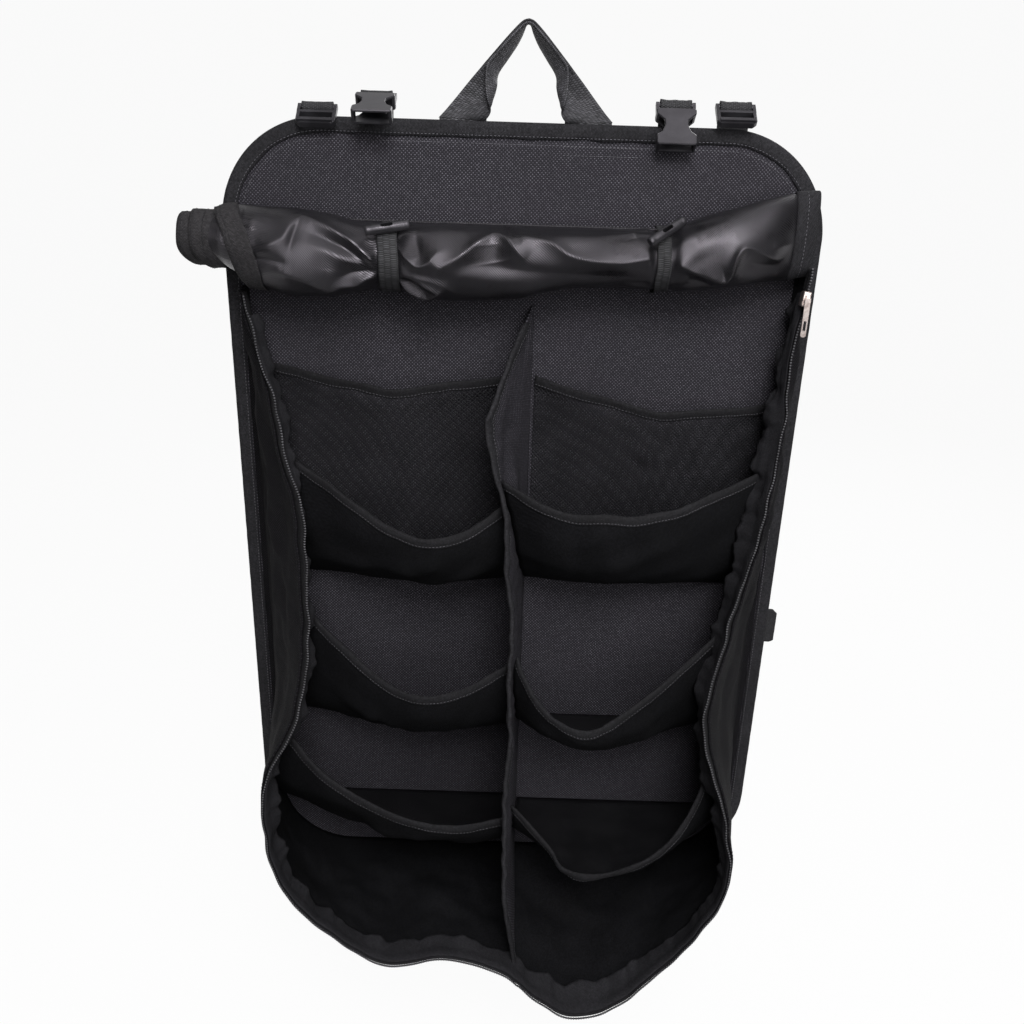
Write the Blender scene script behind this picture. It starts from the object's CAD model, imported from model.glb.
"""Looks of the hanging storage bag: cloth, seams, zip, straps and mouldings, with the camera and the lamps.

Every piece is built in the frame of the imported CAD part, in metres. +X is to the right seen from the front,
the front faces -Y and +Z is up. "Out" is the distance in front of the panel, along -Y. A drop is a share of
the panel's height below its upper edge, and a place across is a share of half its width from its middle.
"""

import logging
import math
from dataclasses import dataclass, field
from enum import Enum
from functools import cached_property
from typing import Callable, ClassVar

import bmesh
import bpy
import numpy as np
from mathutils import Matrix, Vector


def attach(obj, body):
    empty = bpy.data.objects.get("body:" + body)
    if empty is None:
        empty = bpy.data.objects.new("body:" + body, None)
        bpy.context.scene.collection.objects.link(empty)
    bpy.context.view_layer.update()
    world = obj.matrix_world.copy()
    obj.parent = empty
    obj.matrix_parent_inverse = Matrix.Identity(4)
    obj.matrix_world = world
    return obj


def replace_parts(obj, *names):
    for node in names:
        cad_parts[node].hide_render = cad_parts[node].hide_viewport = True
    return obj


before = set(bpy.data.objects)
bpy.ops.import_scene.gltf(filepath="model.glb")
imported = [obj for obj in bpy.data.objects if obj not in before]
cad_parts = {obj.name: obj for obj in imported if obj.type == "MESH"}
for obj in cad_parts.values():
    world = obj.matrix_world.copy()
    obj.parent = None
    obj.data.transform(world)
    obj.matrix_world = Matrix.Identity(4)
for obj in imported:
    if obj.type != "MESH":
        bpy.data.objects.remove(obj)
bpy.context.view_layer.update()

LOG = logging.getLogger("storage_bag")
Points = np.ndarray

# The faint violet of the gloss on coated cloth and moulded plastic
GLINT = (0.97, 0.905, 1.0, 1.0)

# The compartment's open edge, where the zip runs: place across, out, drop
RIM = (
    (-0.906, 0.044, 0.1838), (-0.820, 0.06, 0.2865), (-0.776, 0.07, 0.3550),
    (-0.723, 0.08, 0.4270), (-0.710, 0.097, 0.5689), (-0.739, 0.12, 0.6595),
    (-0.808, 0.134, 0.7050), (-0.852, 0.148, 0.7473), (-0.821, 0.162, 0.8419),
    (-0.716, 0.17, 0.8946), (-0.540, 0.174, 0.9459), (-0.392, 0.176, 0.9676),
    (-0.192, 0.176, 0.9541), (0.008, 0.178, 0.9730), (0.155, 0.184, 1.0108),
    (0.284, 0.187, 1.0270), (0.448, 0.185, 1.0054), (0.651, 0.177, 0.9338),
    (0.767, 0.168, 0.8838), (0.814, 0.16, 0.8311), (0.796, 0.143, 0.7676),
    (0.706, 0.12, 0.6622), (0.756, 0.095, 0.5662), (0.851, 0.074, 0.4270),
    (0.890, 0.062, 0.3380), (0.905, 0.05, 0.2459), (0.920, 0.0435, 0.1919),
    (0.942, 0.037, 0.1378),
)

# The divider's front edge
DIVIDER_EDGE = (
    (0.041, 0.003, 0.1973), (-0.080, 0.075, 0.2919), (-0.092, 0.08, 0.3122),
    (-0.044, 0.09, 0.3905), (-0.000, 0.11, 0.5027), (0.010, 0.125, 0.6216),
    (0.006, 0.138, 0.7514), (0.017, 0.156, 0.8824),
)

# The roll's sections: place across, out and drop of the centre, half its height and half its depth
ROLL = (
    (-0.98, 0.038, 0.124, 0.024, 0.027), (-0.907, 0.037, 0.1297, 0.0298, 0.031),
    (-0.82, 0.037, 0.1335, 0.032, 0.0325), (-0.733, 0.038, 0.137, 0.0336, 0.034),
    (-0.62, 0.037, 0.1398, 0.0325, 0.0335), (-0.522, 0.036, 0.1402, 0.0275, 0.032),
    (-0.422, 0.034, 0.139, 0.025, 0.029), (-0.321, 0.036, 0.142, 0.028, 0.031),
    (-0.2, 0.036, 0.143, 0.0292, 0.0312), (-0.078, 0.036, 0.1425, 0.0295, 0.031),
    (0.01, 0.036, 0.1406, 0.0284, 0.0312), (0.08, 0.036, 0.1375, 0.0264, 0.031),
    (0.15, 0.036, 0.135, 0.0244, 0.0305), (0.25, 0.036, 0.134, 0.0232, 0.03),
    (0.353, 0.035, 0.1345, 0.023, 0.03), (0.433, 0.034, 0.1338, 0.0238, 0.029),
    (0.519, 0.036, 0.1298, 0.0258, 0.0305), (0.6, 0.035, 0.1232, 0.0285, 0.03),
    (0.693, 0.034, 0.117, 0.0308, 0.0285), (0.78, 0.03, 0.1115, 0.0328, 0.0244),
    (0.84, 0.026, 0.1082, 0.0338, 0.0187), (0.88, 0.022, 0.1068, 0.0332, 0.012),
)


class Side(Enum):
    """The two sides of the bag, with the sign of X on each."""

    LEFT = -1
    RIGHT = 1

    @property
    def word(self) -> str:
        """The side's name in piece names."""
        return self.name.lower()


class Level(Enum):
    """The three hammock pockets of a column."""

    UPPER = "upper"
    MIDDLE = "middle"
    LOWER = "lower"


@dataclass(frozen=True)
class Crease:
    """A fold pressed into the roll: places across and degrees up from the roll's front, width and height."""

    line: tuple[tuple[float, float], ...]
    width: float
    height: float


CREASES = tuple(Crease(*row) for row in (
    (((-0.831, -2), (-0.779, 13), (-0.736, 24), (-0.714, 41), (-0.682, 61)), 0.0060, 0.0038),
    (((-0.682, 61), (-0.643, 53), (-0.589, 43), (-0.537, 31), (-0.494, 15), (-0.44, -11)), 0.0055, 0.0060),
    (((-0.667, 42), (-0.586, 29), (-0.53, 15), (-0.462, -9)), 0.0065, -0.0055),
    (((-0.692, 54), (-0.706, 32), (-0.716, 11)), 0.0035, -0.0030),
    (((-0.662, 23), (-0.586, 12), (-0.53, 1), (-0.486, -7)), 0.0070, 0.0030),
    (((-0.741, -18), (-0.674, -27), (-0.64, -35), (-0.604, -43)), 0.0060, 0.0035),
    (((-0.604, -43), (-0.567, -35), (-0.525, -34), (-0.487, -25), (-0.44, -22)), 0.0045, 0.0050),
    (((-0.598, -8), (-0.604, -41)), 0.0060, 0.0024),
    (((-0.565, -20), (-0.511, -14), (-0.455, -15)), 0.0060, -0.0040),
    (((-0.836, -6), (-0.78, -4), (-0.73, -6)), 0.0050, -0.0032),
    (((-0.821, -28), (-0.767, -20), (-0.711, -20)), 0.0090, 0.0030),
    (((-0.84, 31), (-0.831, 49)), 0.0070, 0.0016),
    (((-0.401, 29), (-0.376, 16), (-0.345, 5), (-0.325, 0), (-0.3, 3), (-0.262, 20)), 0.0035, 0.0038),
    (((-0.333, 52), (-0.325, 29), (-0.317, 13)), 0.0060, -0.0030),
    (((-0.283, 11), (-0.245, -4)), 0.0060, 0.0024),
    (((-0.251, 0), (-0.19, 17), (-0.141, 34), (-0.085, 53)), 0.0060, 0.0050),
    (((-0.085, 53), (-0.053, 45), (-0.025, 29), (0.013, 11)), 0.0060, 0.0045),
    (((-0.003, 56), (0.003, 35), (0.012, 18)), 0.0060, 0.0016),
    (((-0.09, 35), (-0.08, 10)), 0.0120, -0.0030),
    (((0.019, 43), (0.088, 32), (0.139, 15), (0.171, 9), (0.213, 5),
      (0.264, 3), (0.316, 3), (0.369, 7), (0.43, 11)), 0.0055, 0.0055),
    (((-0.2, 2), (-0.11, 3), (-0.02, -3), (0.086, -12),
      (0.215, -20), (0.349, -20), (0.411, -17)), 0.0110, -0.0042),
    (((-0.389, -27), (-0.355, -43), (-0.32, -51), (-0.293, -53), (-0.257, -37)), 0.0030, 0.0065),
    (((-0.389, -19), (-0.34, -17), (-0.289, -19), (-0.237, -28), (-0.198, -47)), 0.0040, 0.0020),
    (((-0.323, -22), (-0.295, -29), (-0.261, -37)), 0.0028, 0.0036),
    (((-0.376, -25), (-0.342, -34), (-0.311, -40)), 0.0035, -0.0065),
    (((0.413, -24), (0.42, -1)), 0.0060, 0.0024),
    (((0.452, 10), (0.492, -1), (0.545, -15), (0.601, -31), (0.636, -38), (0.653, -32),
      (0.662, -15), (0.674, 0), (0.692, 5), (0.719, 1), (0.768, -13), (0.816, -33)), 0.0045, 0.0060),
    (((0.46, 19), (0.499, 31), (0.547, 39)), 0.0090, 0.0026),
    (((0.784, -5), (0.834, -6), (0.875, -14)), 0.0070, 0.0024),
    (((0.694, -20), (0.753, -35), (0.833, -59)), 0.0080, -0.0038),
    (((0.526, -24), (0.608, -50)), 0.0050, -0.0022),
    (((0.34, 66), (0.357, 47)), 0.0040, 0.0022),
))


def unit(vectors: Points) -> Points:
    """The same vectors at length 1."""
    return vectors / np.maximum(np.linalg.norm(vectors, axis=-1, keepdims=True), 1e-12)


def smooth_line(points: object, steps: int = 12) -> Points:
    """A smooth line through chosen points.

    Args:
        points: The points, in as many dimensions as are needed.
        steps: How many steps the line takes between two of them.

    Returns:
        The line's points, one to a row.
    """
    points = np.array(points, dtype=float)
    padded = np.vstack((2 * points[0] - points[1], points, 2 * points[-1] - points[-2]))
    t = (np.arange(steps) / steps)[:, None]
    line = []
    for a, b, c, d in zip(padded, padded[1:], padded[2:], padded[3:]):
        curve = 2 * b + (c - a) * t + (2 * a - 5 * b + 4 * c - d) * t**2 + (3 * b - a - 3 * c + d) * t**3
        line.append(0.5 * curve)
    return np.vstack((*line, points[-1:]))


def run_of(line: Points) -> Points:
    """The length of a line up to each of its points."""
    return np.concatenate(([0.0], np.linalg.norm(np.diff(line, axis=0), axis=1).cumsum()))


def at_share(line: Points, share: Points) -> Points:
    """Points of a line at given shares of its length."""
    run = run_of(line)
    return np.stack([np.interp(share, run / run[-1], line[:, k]) for k in range(line.shape[1])], axis=-1)


def joined(*parts: Points) -> Points:
    """Coordinates side by side, each repeated as often as the longest needs it."""
    return np.stack(np.broadcast_arrays(*parts), axis=-1)


def out_to_world(x: Points, out: Points, z: Points) -> Points:
    """World points from x, the distance in front of the panel, and z."""
    return joined(x, -out, z)


def eased(low: float, high: float, value: Points) -> Points:
    """0 before the low value, 1 past the high one, with a soft run between them."""
    t = np.clip((np.asarray(value) - low) / (high - low), 0.0, 1.0)
    return t * t * (3 - 2 * t)


def ripple(u: Points, v: Points, size: tuple[float, float], seed: int, waves: int = 9) -> Points:
    """Soft unevenness over a cloth, about -1 to 1, the same on every run.

    Args:
        u: Places along the cloth, in metres.
        v: Places across it, in metres.
        size: The length of a swell along and across, in metres.
        seed: Chooses one pattern.
        waves: How many swells are laid over each other.

    Returns:
        The unevenness at each place.
    """
    chance = np.random.default_rng(seed)
    total = 0.0
    for _ in range(waves):
        turn = chance.uniform(0, math.tau)
        reach = chance.uniform(0.6, 1.7)
        start = chance.uniform(0, math.tau)
        place = u / size[0] * math.cos(turn) + v / size[1] * math.sin(turn)
        total = total + np.sin(place * math.tau * reach + start)
    return total / math.sqrt(waves)


def grid_normals(grid: Points, ring: bool = False) -> Points:
    """The surface's normal at each point of a grid, whose columns may close to a ring."""
    across = np.roll(grid, -1, 1) - np.roll(grid, 1, 1) if ring else np.gradient(grid, axis=1)
    return unit(np.cross(across, np.gradient(grid, axis=0)))


def run_down(grid: Points) -> Points:
    """The length down each column of a grid up to each of its points."""
    steps = np.linalg.norm(np.diff(grid, axis=0), axis=-1)
    return np.concatenate((np.zeros((1, grid.shape[1])), steps.cumsum(axis=0)))


def squares(rows: int, columns: int) -> tuple[tuple[Points, Points], ...]:
    """The rows and the columns of the four corners of each square of a grid with so many steps each way."""
    i, j = (a.ravel() for a in np.meshgrid(np.arange(rows), np.arange(columns), indexing="ij"))
    return (i, j), (i, j + 1), (i + 1, j + 1), (i + 1, j)


def flat_layout(grid: Points, tube: bool, ring: bool) -> Points:
    """Each point's place on the cloth laid flat, in metres: along the columns, then down the rows."""
    if tube:
        grid = np.concatenate((grid, grid[:1]))
    if ring:
        grid = np.concatenate((grid, grid[:, :1]), axis=1)
    return joined(run_of(grid[len(grid) // 2]), run_down(grid))


def at_depths(grid: Points, values: Points, depths: Points) -> Points:
    """Values of a cloth at distances in from its first row.

    Args:
        grid: The cloth's points, rows by columns.
        values: What is read there, of the same shape.
        depths: The distances, one to a row, and one to a column where they differ.

    Returns:
        One row of values to each distance.
    """
    run = run_down(grid)
    count, columns = len(depths), grid.shape[1]
    depths = np.broadcast_to(np.asarray(depths, dtype=float).reshape(count, -1), (count, columns))
    found = np.empty((count, columns, 3))
    for j in range(columns):
        for k in range(3):
            found[:, j, k] = np.interp(depths[:, j], run[:, j], values[:, j, k])
    return found


class Wire:
    """A socket of a material on which Python's operators add Math nodes."""

    def __init__(self, sketch: "Sketch", socket: bpy.types.NodeSocket) -> None:
        """Keeps the socket and the material that it belongs to."""
        self.sketch = sketch
        self.socket = socket

    def maths(self, operation: str, *others: object) -> "Wire":
        """A Math node on this value and others."""
        return self.sketch.node("Math", {"operation": operation}, dict(enumerate((self, *others))))

    def __add__(self, other: object) -> "Wire":
        """The sum."""
        return self.maths("ADD", other)

    __radd__ = __add__

    def __sub__(self, other: object) -> "Wire":
        """The difference."""
        return self.maths("SUBTRACT", other)

    def __rsub__(self, other: float) -> "Wire":
        """A number less this value."""
        return self.sketch.node("Math", {"operation": "SUBTRACT"}, {0: other, 1: self})

    def __mul__(self, other: object) -> "Wire":
        """The product."""
        return self.maths("MULTIPLY", other)

    __rmul__ = __mul__

    def __truediv__(self, other: object) -> "Wire":
        """The quotient."""
        return self.maths("DIVIDE", other)

    def __rtruediv__(self, other: float) -> "Wire":
        """A number divided by this value."""
        return self.sketch.node("Math", {"operation": "DIVIDE"}, {0: other, 1: self})

    def __pow__(self, other: object) -> "Wire":
        """The power."""
        return self.maths("POWER", other)

    def __abs__(self) -> "Wire":
        """The size without its sign."""
        return self.maths("ABSOLUTE")

    def sine(self) -> "Wire":
        """The sine of an angle in radians."""
        return self.maths("SINE")

    def whole(self) -> "Wire":
        """The whole number below."""
        return self.maths("FLOOR")

    def rest(self) -> "Wire":
        """What is over the whole number below."""
        return self.maths("FRACT")

    def above(self, limit: float) -> "Wire":
        """1 where the value is over a limit, else 0."""
        return self.maths("GREATER_THAN", limit)

    def stretched(self, low: float, high: float) -> "Wire":
        """0 at the low value, 1 at the high one, held to that range."""
        return self.sketch.node("MapRange", {}, {"Value": self, "From Min": low, "From Max": high})


class Sketch:
    """The nodes of one material."""

    def __init__(self, name: str) -> None:
        """Starts a material with an empty shader."""
        self.material = bpy.data.materials.new(name)
        self.material.use_nodes = True
        self.tree = self.material.node_tree
        self.shader = self.tree.nodes["Principled BSDF"]

    def node(self, kind: str, settings: dict, values: dict, output: object = 0) -> Wire:
        """Adds a node.

        Args:
            kind: The node's type without its prefix.
            settings: Its settings, such as a Math node's operation, which are set first.
            values: Its sockets' numbers, colours or links.
            output: Which of its outputs is wanted.

        Returns:
            That output.
        """
        made = self.tree.nodes.new(f"ShaderNode{kind}")
        for name, value in settings.items():
            setattr(made, name, value)
        for key, value in values.items():
            if isinstance(value, Wire):
                self.tree.links.new(value.socket, made.inputs[key])
            else:
                made.inputs[key].default_value = value
        return Wire(self, made.outputs[output])

    def cloth(self) -> tuple[Wire, Wire]:
        """Metres along and across the flat cloth."""
        place = self.node("UVMap", {"uv_map": "cloth"}, {})
        return tuple(self.node("SeparateXYZ", {}, {0: place}, k) for k in (0, 1))

    def worn(self, scale: float) -> Wire:
        """Rubbed patches, 0 to 1, with so many to the metre."""
        return self.noise(self.here(), scale, 3.0).stretched(0.3, 0.7)

    def lint(self, scale: float, limit: float, light: float) -> Wire:
        """Specks of lint, as light as is said."""
        return self.noise(self.here(), scale, 1.0).above(limit) * light

    def here(self) -> Wire:
        """The place on the piece, in metres."""
        return self.node("TexCoord", {}, {}, "Object")

    def pair(self, first: Wire, second: Wire) -> Wire:
        """Two values as a vector."""
        return self.node("CombineXYZ", {}, {0: first, 1: second})

    def noise(self, place: Wire, scale: float, detail: float = 2.0, rough: float = 0.5) -> Wire:
        """Soft cloudy unevenness, about 0 to 1, with so many swells to the metre."""
        values = {"Vector": place, "Scale": scale, "Detail": detail, "Roughness": rough}
        return self.node("TexNoise", {}, values)

    def chance(self, place: Wire) -> Wire:
        """A fixed random value for each whole place."""
        return self.node("TexWhiteNoise", {}, {"Vector": place})

    def blend(self, factor: Wire, first: tuple, second: tuple) -> Wire:
        """A colour between two colours."""
        values = {0: factor, 6: (*first, 1.0), 7: (*second, 1.0)}
        return self.node("Mix", {"data_type": "RGBA"}, values, 2)

    def feed(
        self, colour: Wire, roughness: Wire, height: Wire, depth: float, **constants: object
    ) -> bpy.types.Material:
        """Links the finished surface to the shader.

        Args:
            colour: The colour over the surface.
            roughness: The roughness over the surface.
            height: The relief, 0 to 1.
            depth: How deep the relief is, in metres.
            **constants: Other sockets of the shader, by their names with low lines for spaces.

        Returns:
            The material.
        """
        relief = self.node("Bump", {}, {"Strength": 1.0, "Distance": depth, "Height": height})
        for name, wire in (("Base Color", colour), ("Roughness", roughness), ("Normal", relief)):
            self.tree.links.new(wire.socket, self.shader.inputs[name])
        for name, value in constants.items():
            self.shader.inputs[name.replace("_", " ")].default_value = value
        return self.material


@dataclass(frozen=True)
class Finish:
    """What every finish has: a name, its dark and its light colour, and the slot that it stands for."""

    name: str
    dark: tuple[float, float, float]
    light: tuple[float, float, float]
    slot: str
    made: ClassVar[dict[str, bpy.types.Material]] = {}

    def material(self) -> bpy.types.Material:
        """The finish's material, made on first use."""
        if self.name not in Finish.made:
            sketch = Sketch(self.name)
            sketch.material.diffuse_color = (*self.dark, 1.0)
            Finish.made[self.name] = self.paint(sketch)
        return Finish.made[self.name]

    def paint(self, sketch: Sketch) -> bpy.types.Material:
        """Draws the finish."""
        raise NotImplementedError


@dataclass(frozen=True)
class BasketWeave(Finish):
    """Coarse ballistic cloth: a chequer of thread pillows, whose upper threads catch the light."""

    cell: float = 0.0016
    depth: float = 0.00035
    gloss: float = 0.2

    def paint(self, sketch: Sketch) -> bpy.types.Material:
        """Draws the weave with uneven threads, soft shading from wear and a little lint."""
        u, v = sketch.cloth()
        wander = sketch.noise(sketch.here(), 14.0)
        along, across = u / self.cell + wander * 1.6, v / self.cell + wander * 1.1
        over = ((along.whole() + across.whole()) * 0.5).rest() * 2.0
        pillow = (along.rest() * math.pi).sine() * (across.rest() * math.pi).sine()
        thread = sketch.chance(sketch.pair(along.whole(), across.whole()))
        worn = sketch.worn(7.0)
        shine = pillow**1.7 * over * (0.35 + thread * 0.65) * (0.75 + worn * 0.5)
        colour = sketch.blend(shine + sketch.lint(900.0, 0.735, 0.35), self.dark, self.light)
        roughness = 0.86 - shine * 0.22
        height = pillow * (0.55 + over * 0.45)
        return sketch.feed(colour, roughness, height, self.depth, Specular_IOR_Level=self.gloss)


@dataclass(frozen=True)
class Twill(Finish):
    """Fine twill lining: close diagonal ribs with loose fibres."""

    pitch: float = 0.0013
    depth: float = 0.00018

    def paint(self, sketch: Sketch) -> bpy.types.Material:
        """Draws the diagonal ribs, broken up along their run."""
        u, v = sketch.cloth()
        slack = sketch.noise(sketch.here(), 30.0)
        rib = ((u + v) / self.pitch * math.tau + slack * 3.0).sine() * 0.5 + 0.5
        breaks = sketch.chance(sketch.pair(((u + v) / self.pitch).whole(), ((u - v) / 0.0021).whole()))
        worn = sketch.worn(11.0)
        shine = rib * (0.3 + breaks * 0.7) * (0.6 + worn * 0.6)
        colour = sketch.blend(shine + sketch.lint(700.0, 0.73, 0.3), self.dark, self.light)
        return sketch.feed(colour, 0.9 - shine * 0.15, rib, self.depth, Specular_IOR_Level=0.1)


@dataclass(frozen=True)
class CoatedCloth(Finish):
    """Cloth with a half-gloss coating: its weave shows as a fine grain, and creases rub it lighter."""

    roughness: float = 0.4
    grain: float = 0.0012
    depth: float = 0.00016
    gloss: float = 0.5

    def paint(self, sketch: Sketch) -> bpy.types.Material:
        """Draws the coating over the weave."""
        u, v = sketch.cloth()
        here = sketch.here()
        slack = sketch.noise(here, 40.0)
        thread = ((u + v * 0.85) / self.grain * math.tau + slack * 4.0).sine() * 0.5 + 0.5
        cross = ((u * 0.8 - v) / (self.grain * 1.3) * math.tau).sine() * 0.5 + 0.5
        patches = sketch.noise(here, 24.0, 4.0, 0.6).stretched(0.35, 0.65)
        crinkle = sketch.noise(here, 160.0, 3.0)
        weave = thread * 0.65 + cross * 0.35
        colour = sketch.blend(weave * 0.35 + patches * 0.45, self.dark, self.light)
        roughness = self.roughness - 0.05 + patches * 0.1 + weave * 0.06
        height = weave * (0.5 + patches * 0.7) + crinkle * 0.7
        shader = {"Specular_IOR_Level": self.gloss, "Specular_Tint": GLINT}
        return sketch.feed(colour, roughness, height, self.depth, **shader)


@dataclass(frozen=True)
class TapeWeave(Finish):
    """Binding tape: fine close ribs across the tape and a raised edge."""

    pitch: float = 0.0011
    depth: float = 0.00016

    def paint(self, sketch: Sketch) -> bpy.types.Material:
        """Draws the ribs and their broken lights."""
        u, v = sketch.cloth()
        lean = (v / 0.0028 * math.pi).sine()
        rib = ((u / self.pitch + lean * 0.6) * math.tau).sine() * 0.5 + 0.5
        breaks = sketch.chance(sketch.pair((u / self.pitch).whole(), (v / 0.0014).whole()))
        worn = sketch.worn(16.0)
        shine = rib * (0.25 + breaks * 0.75) * (0.55 + worn * 0.6)
        colour = sketch.blend(shine + sketch.lint(800.0, 0.73, 0.35), self.dark, self.light)
        return sketch.feed(colour, 0.85 - shine * 0.15, rib, self.depth, Specular_IOR_Level=0.2)


@dataclass(frozen=True)
class RibbedWebbing(Finish):
    """Strap webbing: ribs across the strap in blocks that are offset from column to column."""

    rib: float = 0.0015
    column: float = 0.0032
    depth: float = 0.0003

    def paint(self, sketch: Sketch) -> bpy.types.Material:
        """Draws the blocks of ribs."""
        u, v = sketch.cloth()
        column = (v / self.column).whole()
        shifted = u / self.rib + column * 0.5
        rib = (shifted.rest() * math.pi).sine()
        edge = ((v / self.column).rest() * math.pi).sine() ** 0.35
        thread = sketch.chance(sketch.pair(shifted.whole(), column))
        worn = sketch.worn(30.0)
        shine = rib * edge * (0.35 + thread * 0.65) * (0.6 + worn * 0.6)
        colour = sketch.blend(shine, self.dark, self.light)
        return sketch.feed(colour, 0.72 - shine * 0.2, rib * edge, self.depth, Specular_IOR_Level=0.45)


@dataclass(frozen=True)
class Filament(Finish):
    """Thread, net strand or zip coil: an even filament with small differences from place to place."""

    roughness: float = 0.6
    gloss: float = 0.25
    depth: float = 0.00006

    def paint(self, sketch: Sketch) -> bpy.types.Material:
        """Draws the filament's unevenness."""
        patches = sketch.worn(45.0)
        fine = sketch.noise(sketch.here(), 1500.0, 1.0)
        colour = sketch.blend(patches * 0.6 + fine * 0.4, self.dark, self.light)
        roughness = self.roughness + patches * 0.1
        return sketch.feed(colour, roughness, fine, self.depth, Specular_IOR_Level=self.gloss)


@dataclass(frozen=True)
class MouldedPlastic(Finish):
    """Moulded acetal: a fine satin grain with rubbed patches."""

    roughness: float = 0.34
    depth: float = 0.00005

    def paint(self, sketch: Sketch) -> bpy.types.Material:
        """Draws the grain and the rubbed patches."""
        here = sketch.here()
        rubbed = sketch.noise(here, 60.0, 3.0).stretched(0.45, 0.75)
        grain = sketch.noise(here, 1100.0, 2.0)
        run = sketch.node("Mapping", {}, {"Vector": here, "Scale": (90.0, 2500.0, 2500.0)})
        scratch = sketch.noise(run, 1.0, 2.0)
        colour = sketch.blend(rubbed * 0.5 + grain * 0.3, self.dark, self.light)
        roughness = self.roughness + rubbed * 0.12 + scratch.stretched(0.5, 0.8) * 0.08
        shader = {"Specular_IOR_Level": 0.5, "Specular_Tint": GLINT}
        return sketch.feed(colour, roughness, grain + scratch * 0.5, self.depth, **shader)


@dataclass(frozen=True)
class PlatedMetal(Finish):
    """Nickel plate with a warm tone, rubbed along its run."""

    roughness: float = 0.26
    depth: float = 0.00003

    def paint(self, sketch: Sketch) -> bpy.types.Material:
        """Draws the rubbed plate."""
        here = sketch.here()
        run = sketch.node("Mapping", {}, {"Vector": here, "Scale": (2600.0, 2600.0, 60.0)})
        brushed = sketch.noise(run, 1.0, 2.0)
        tarnish = sketch.noise(here, 260.0, 3.0).stretched(0.45, 0.7)
        colour = sketch.blend(tarnish, self.light, self.dark)
        roughness = self.roughness + brushed * 0.12 + tarnish * 0.16
        return sketch.feed(colour, roughness, brushed, self.depth, Metallic=1.0)


BALLISTIC = BasketWeave(
    "ballistic_weave", (0.020, 0.0185, 0.023), (0.155, 0.147, 0.172), "ballistic_fabric", 0.0015
)
WALL_CLOTH = BasketWeave(
    "wall_weave", (0.006, 0.0056, 0.0066), (0.032, 0.0304, 0.035), "ballistic_fabric", 0.0012, 0.0002, 0.08
)
LINING = Twill("twill_lining", (0.003, 0.003, 0.0034), (0.014, 0.014, 0.0166), "lining_fabric")
FACING = Twill("facing_twill", (0.013, 0.0126, 0.0143), (0.040, 0.039, 0.044), "lining_fabric", 0.0010)
COATED = CoatedCloth(
    "coated_cloth", (0.004, 0.0039, 0.0044), (0.020, 0.0195, 0.022), "coated_fabric", 0.29, 0.0017, 0.0002,
    0.57,
)
COATED_INSIDE = CoatedCloth(
    "coated_lining", (0.005, 0.005, 0.0055), (0.013, 0.013, 0.014), "lining_fabric", 0.36, gloss=0.3
)
TAPE = TapeWeave("binding_tape_weave", (0.008, 0.0077, 0.0088), (0.048, 0.0465, 0.053), "binding_tape")
ROLL_TAPE = TapeWeave("roll_tape_weave", (0.013, 0.0122, 0.0132), (0.060, 0.0565, 0.061), "binding_tape")
DARK_TAPE = TapeWeave("zip_tape_weave", (0.006, 0.0058, 0.0065), (0.028, 0.027, 0.031), "binding_tape")
LOOP = RibbedWebbing(
    "loop_webbing", (0.007, 0.0068, 0.0078), (0.040, 0.039, 0.044), "webbing", 0.0011, 0.0017
)
STRAP = RibbedWebbing(
    "strap_webbing", (0.010, 0.0097, 0.011), (0.115, 0.112, 0.126), "webbing", 0.0014, 0.0030
)
ELASTIC = RibbedWebbing(
    "elastic_webbing", (0.004, 0.004, 0.0045), (0.045, 0.044, 0.050), "webbing", 0.0014, 0.0050
)
NET = Filament("net_strand", (0.007, 0.007, 0.008), (0.026, 0.0255, 0.029), "mesh_fabric", 0.6)
THREAD = Filament("bright_thread", (0.070, 0.068, 0.078), (0.160, 0.155, 0.172), "binding_tape", 0.55)
DARK_THREAD = Filament("dark_thread", (0.004, 0.004, 0.0045), (0.014, 0.014, 0.016), "binding_tape", 0.6)
COIL = Filament("coil_nylon", (0.045, 0.044, 0.048), (0.155, 0.152, 0.163), "zip_coil", 0.5, 0.2)
PLASTIC = MouldedPlastic(
    "satin_acetal", (0.011, 0.0108, 0.0122), (0.042, 0.0412, 0.0455), "moulded_plastic", 0.32
)
METAL = PlatedMetal("worn_nickel", (0.360, 0.290, 0.270), (0.640, 0.560, 0.530), "plated_metal")


def turned_outwards(mesh: bpy.types.Mesh, weld: float = 0.0) -> None:
    """Turns the faces of a closed body outwards.

    Args:
        mesh: The body's mesh.
        weld: How close points lie that are joined first. None are joined at 0.
    """
    shape = bmesh.new()
    shape.from_mesh(mesh)
    if weld > 0.0:
        bmesh.ops.remove_doubles(shape, verts=shape.verts, dist=weld)
    bmesh.ops.recalc_face_normals(shape, faces=shape.faces)
    shape.to_mesh(mesh)
    shape.free()


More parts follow.
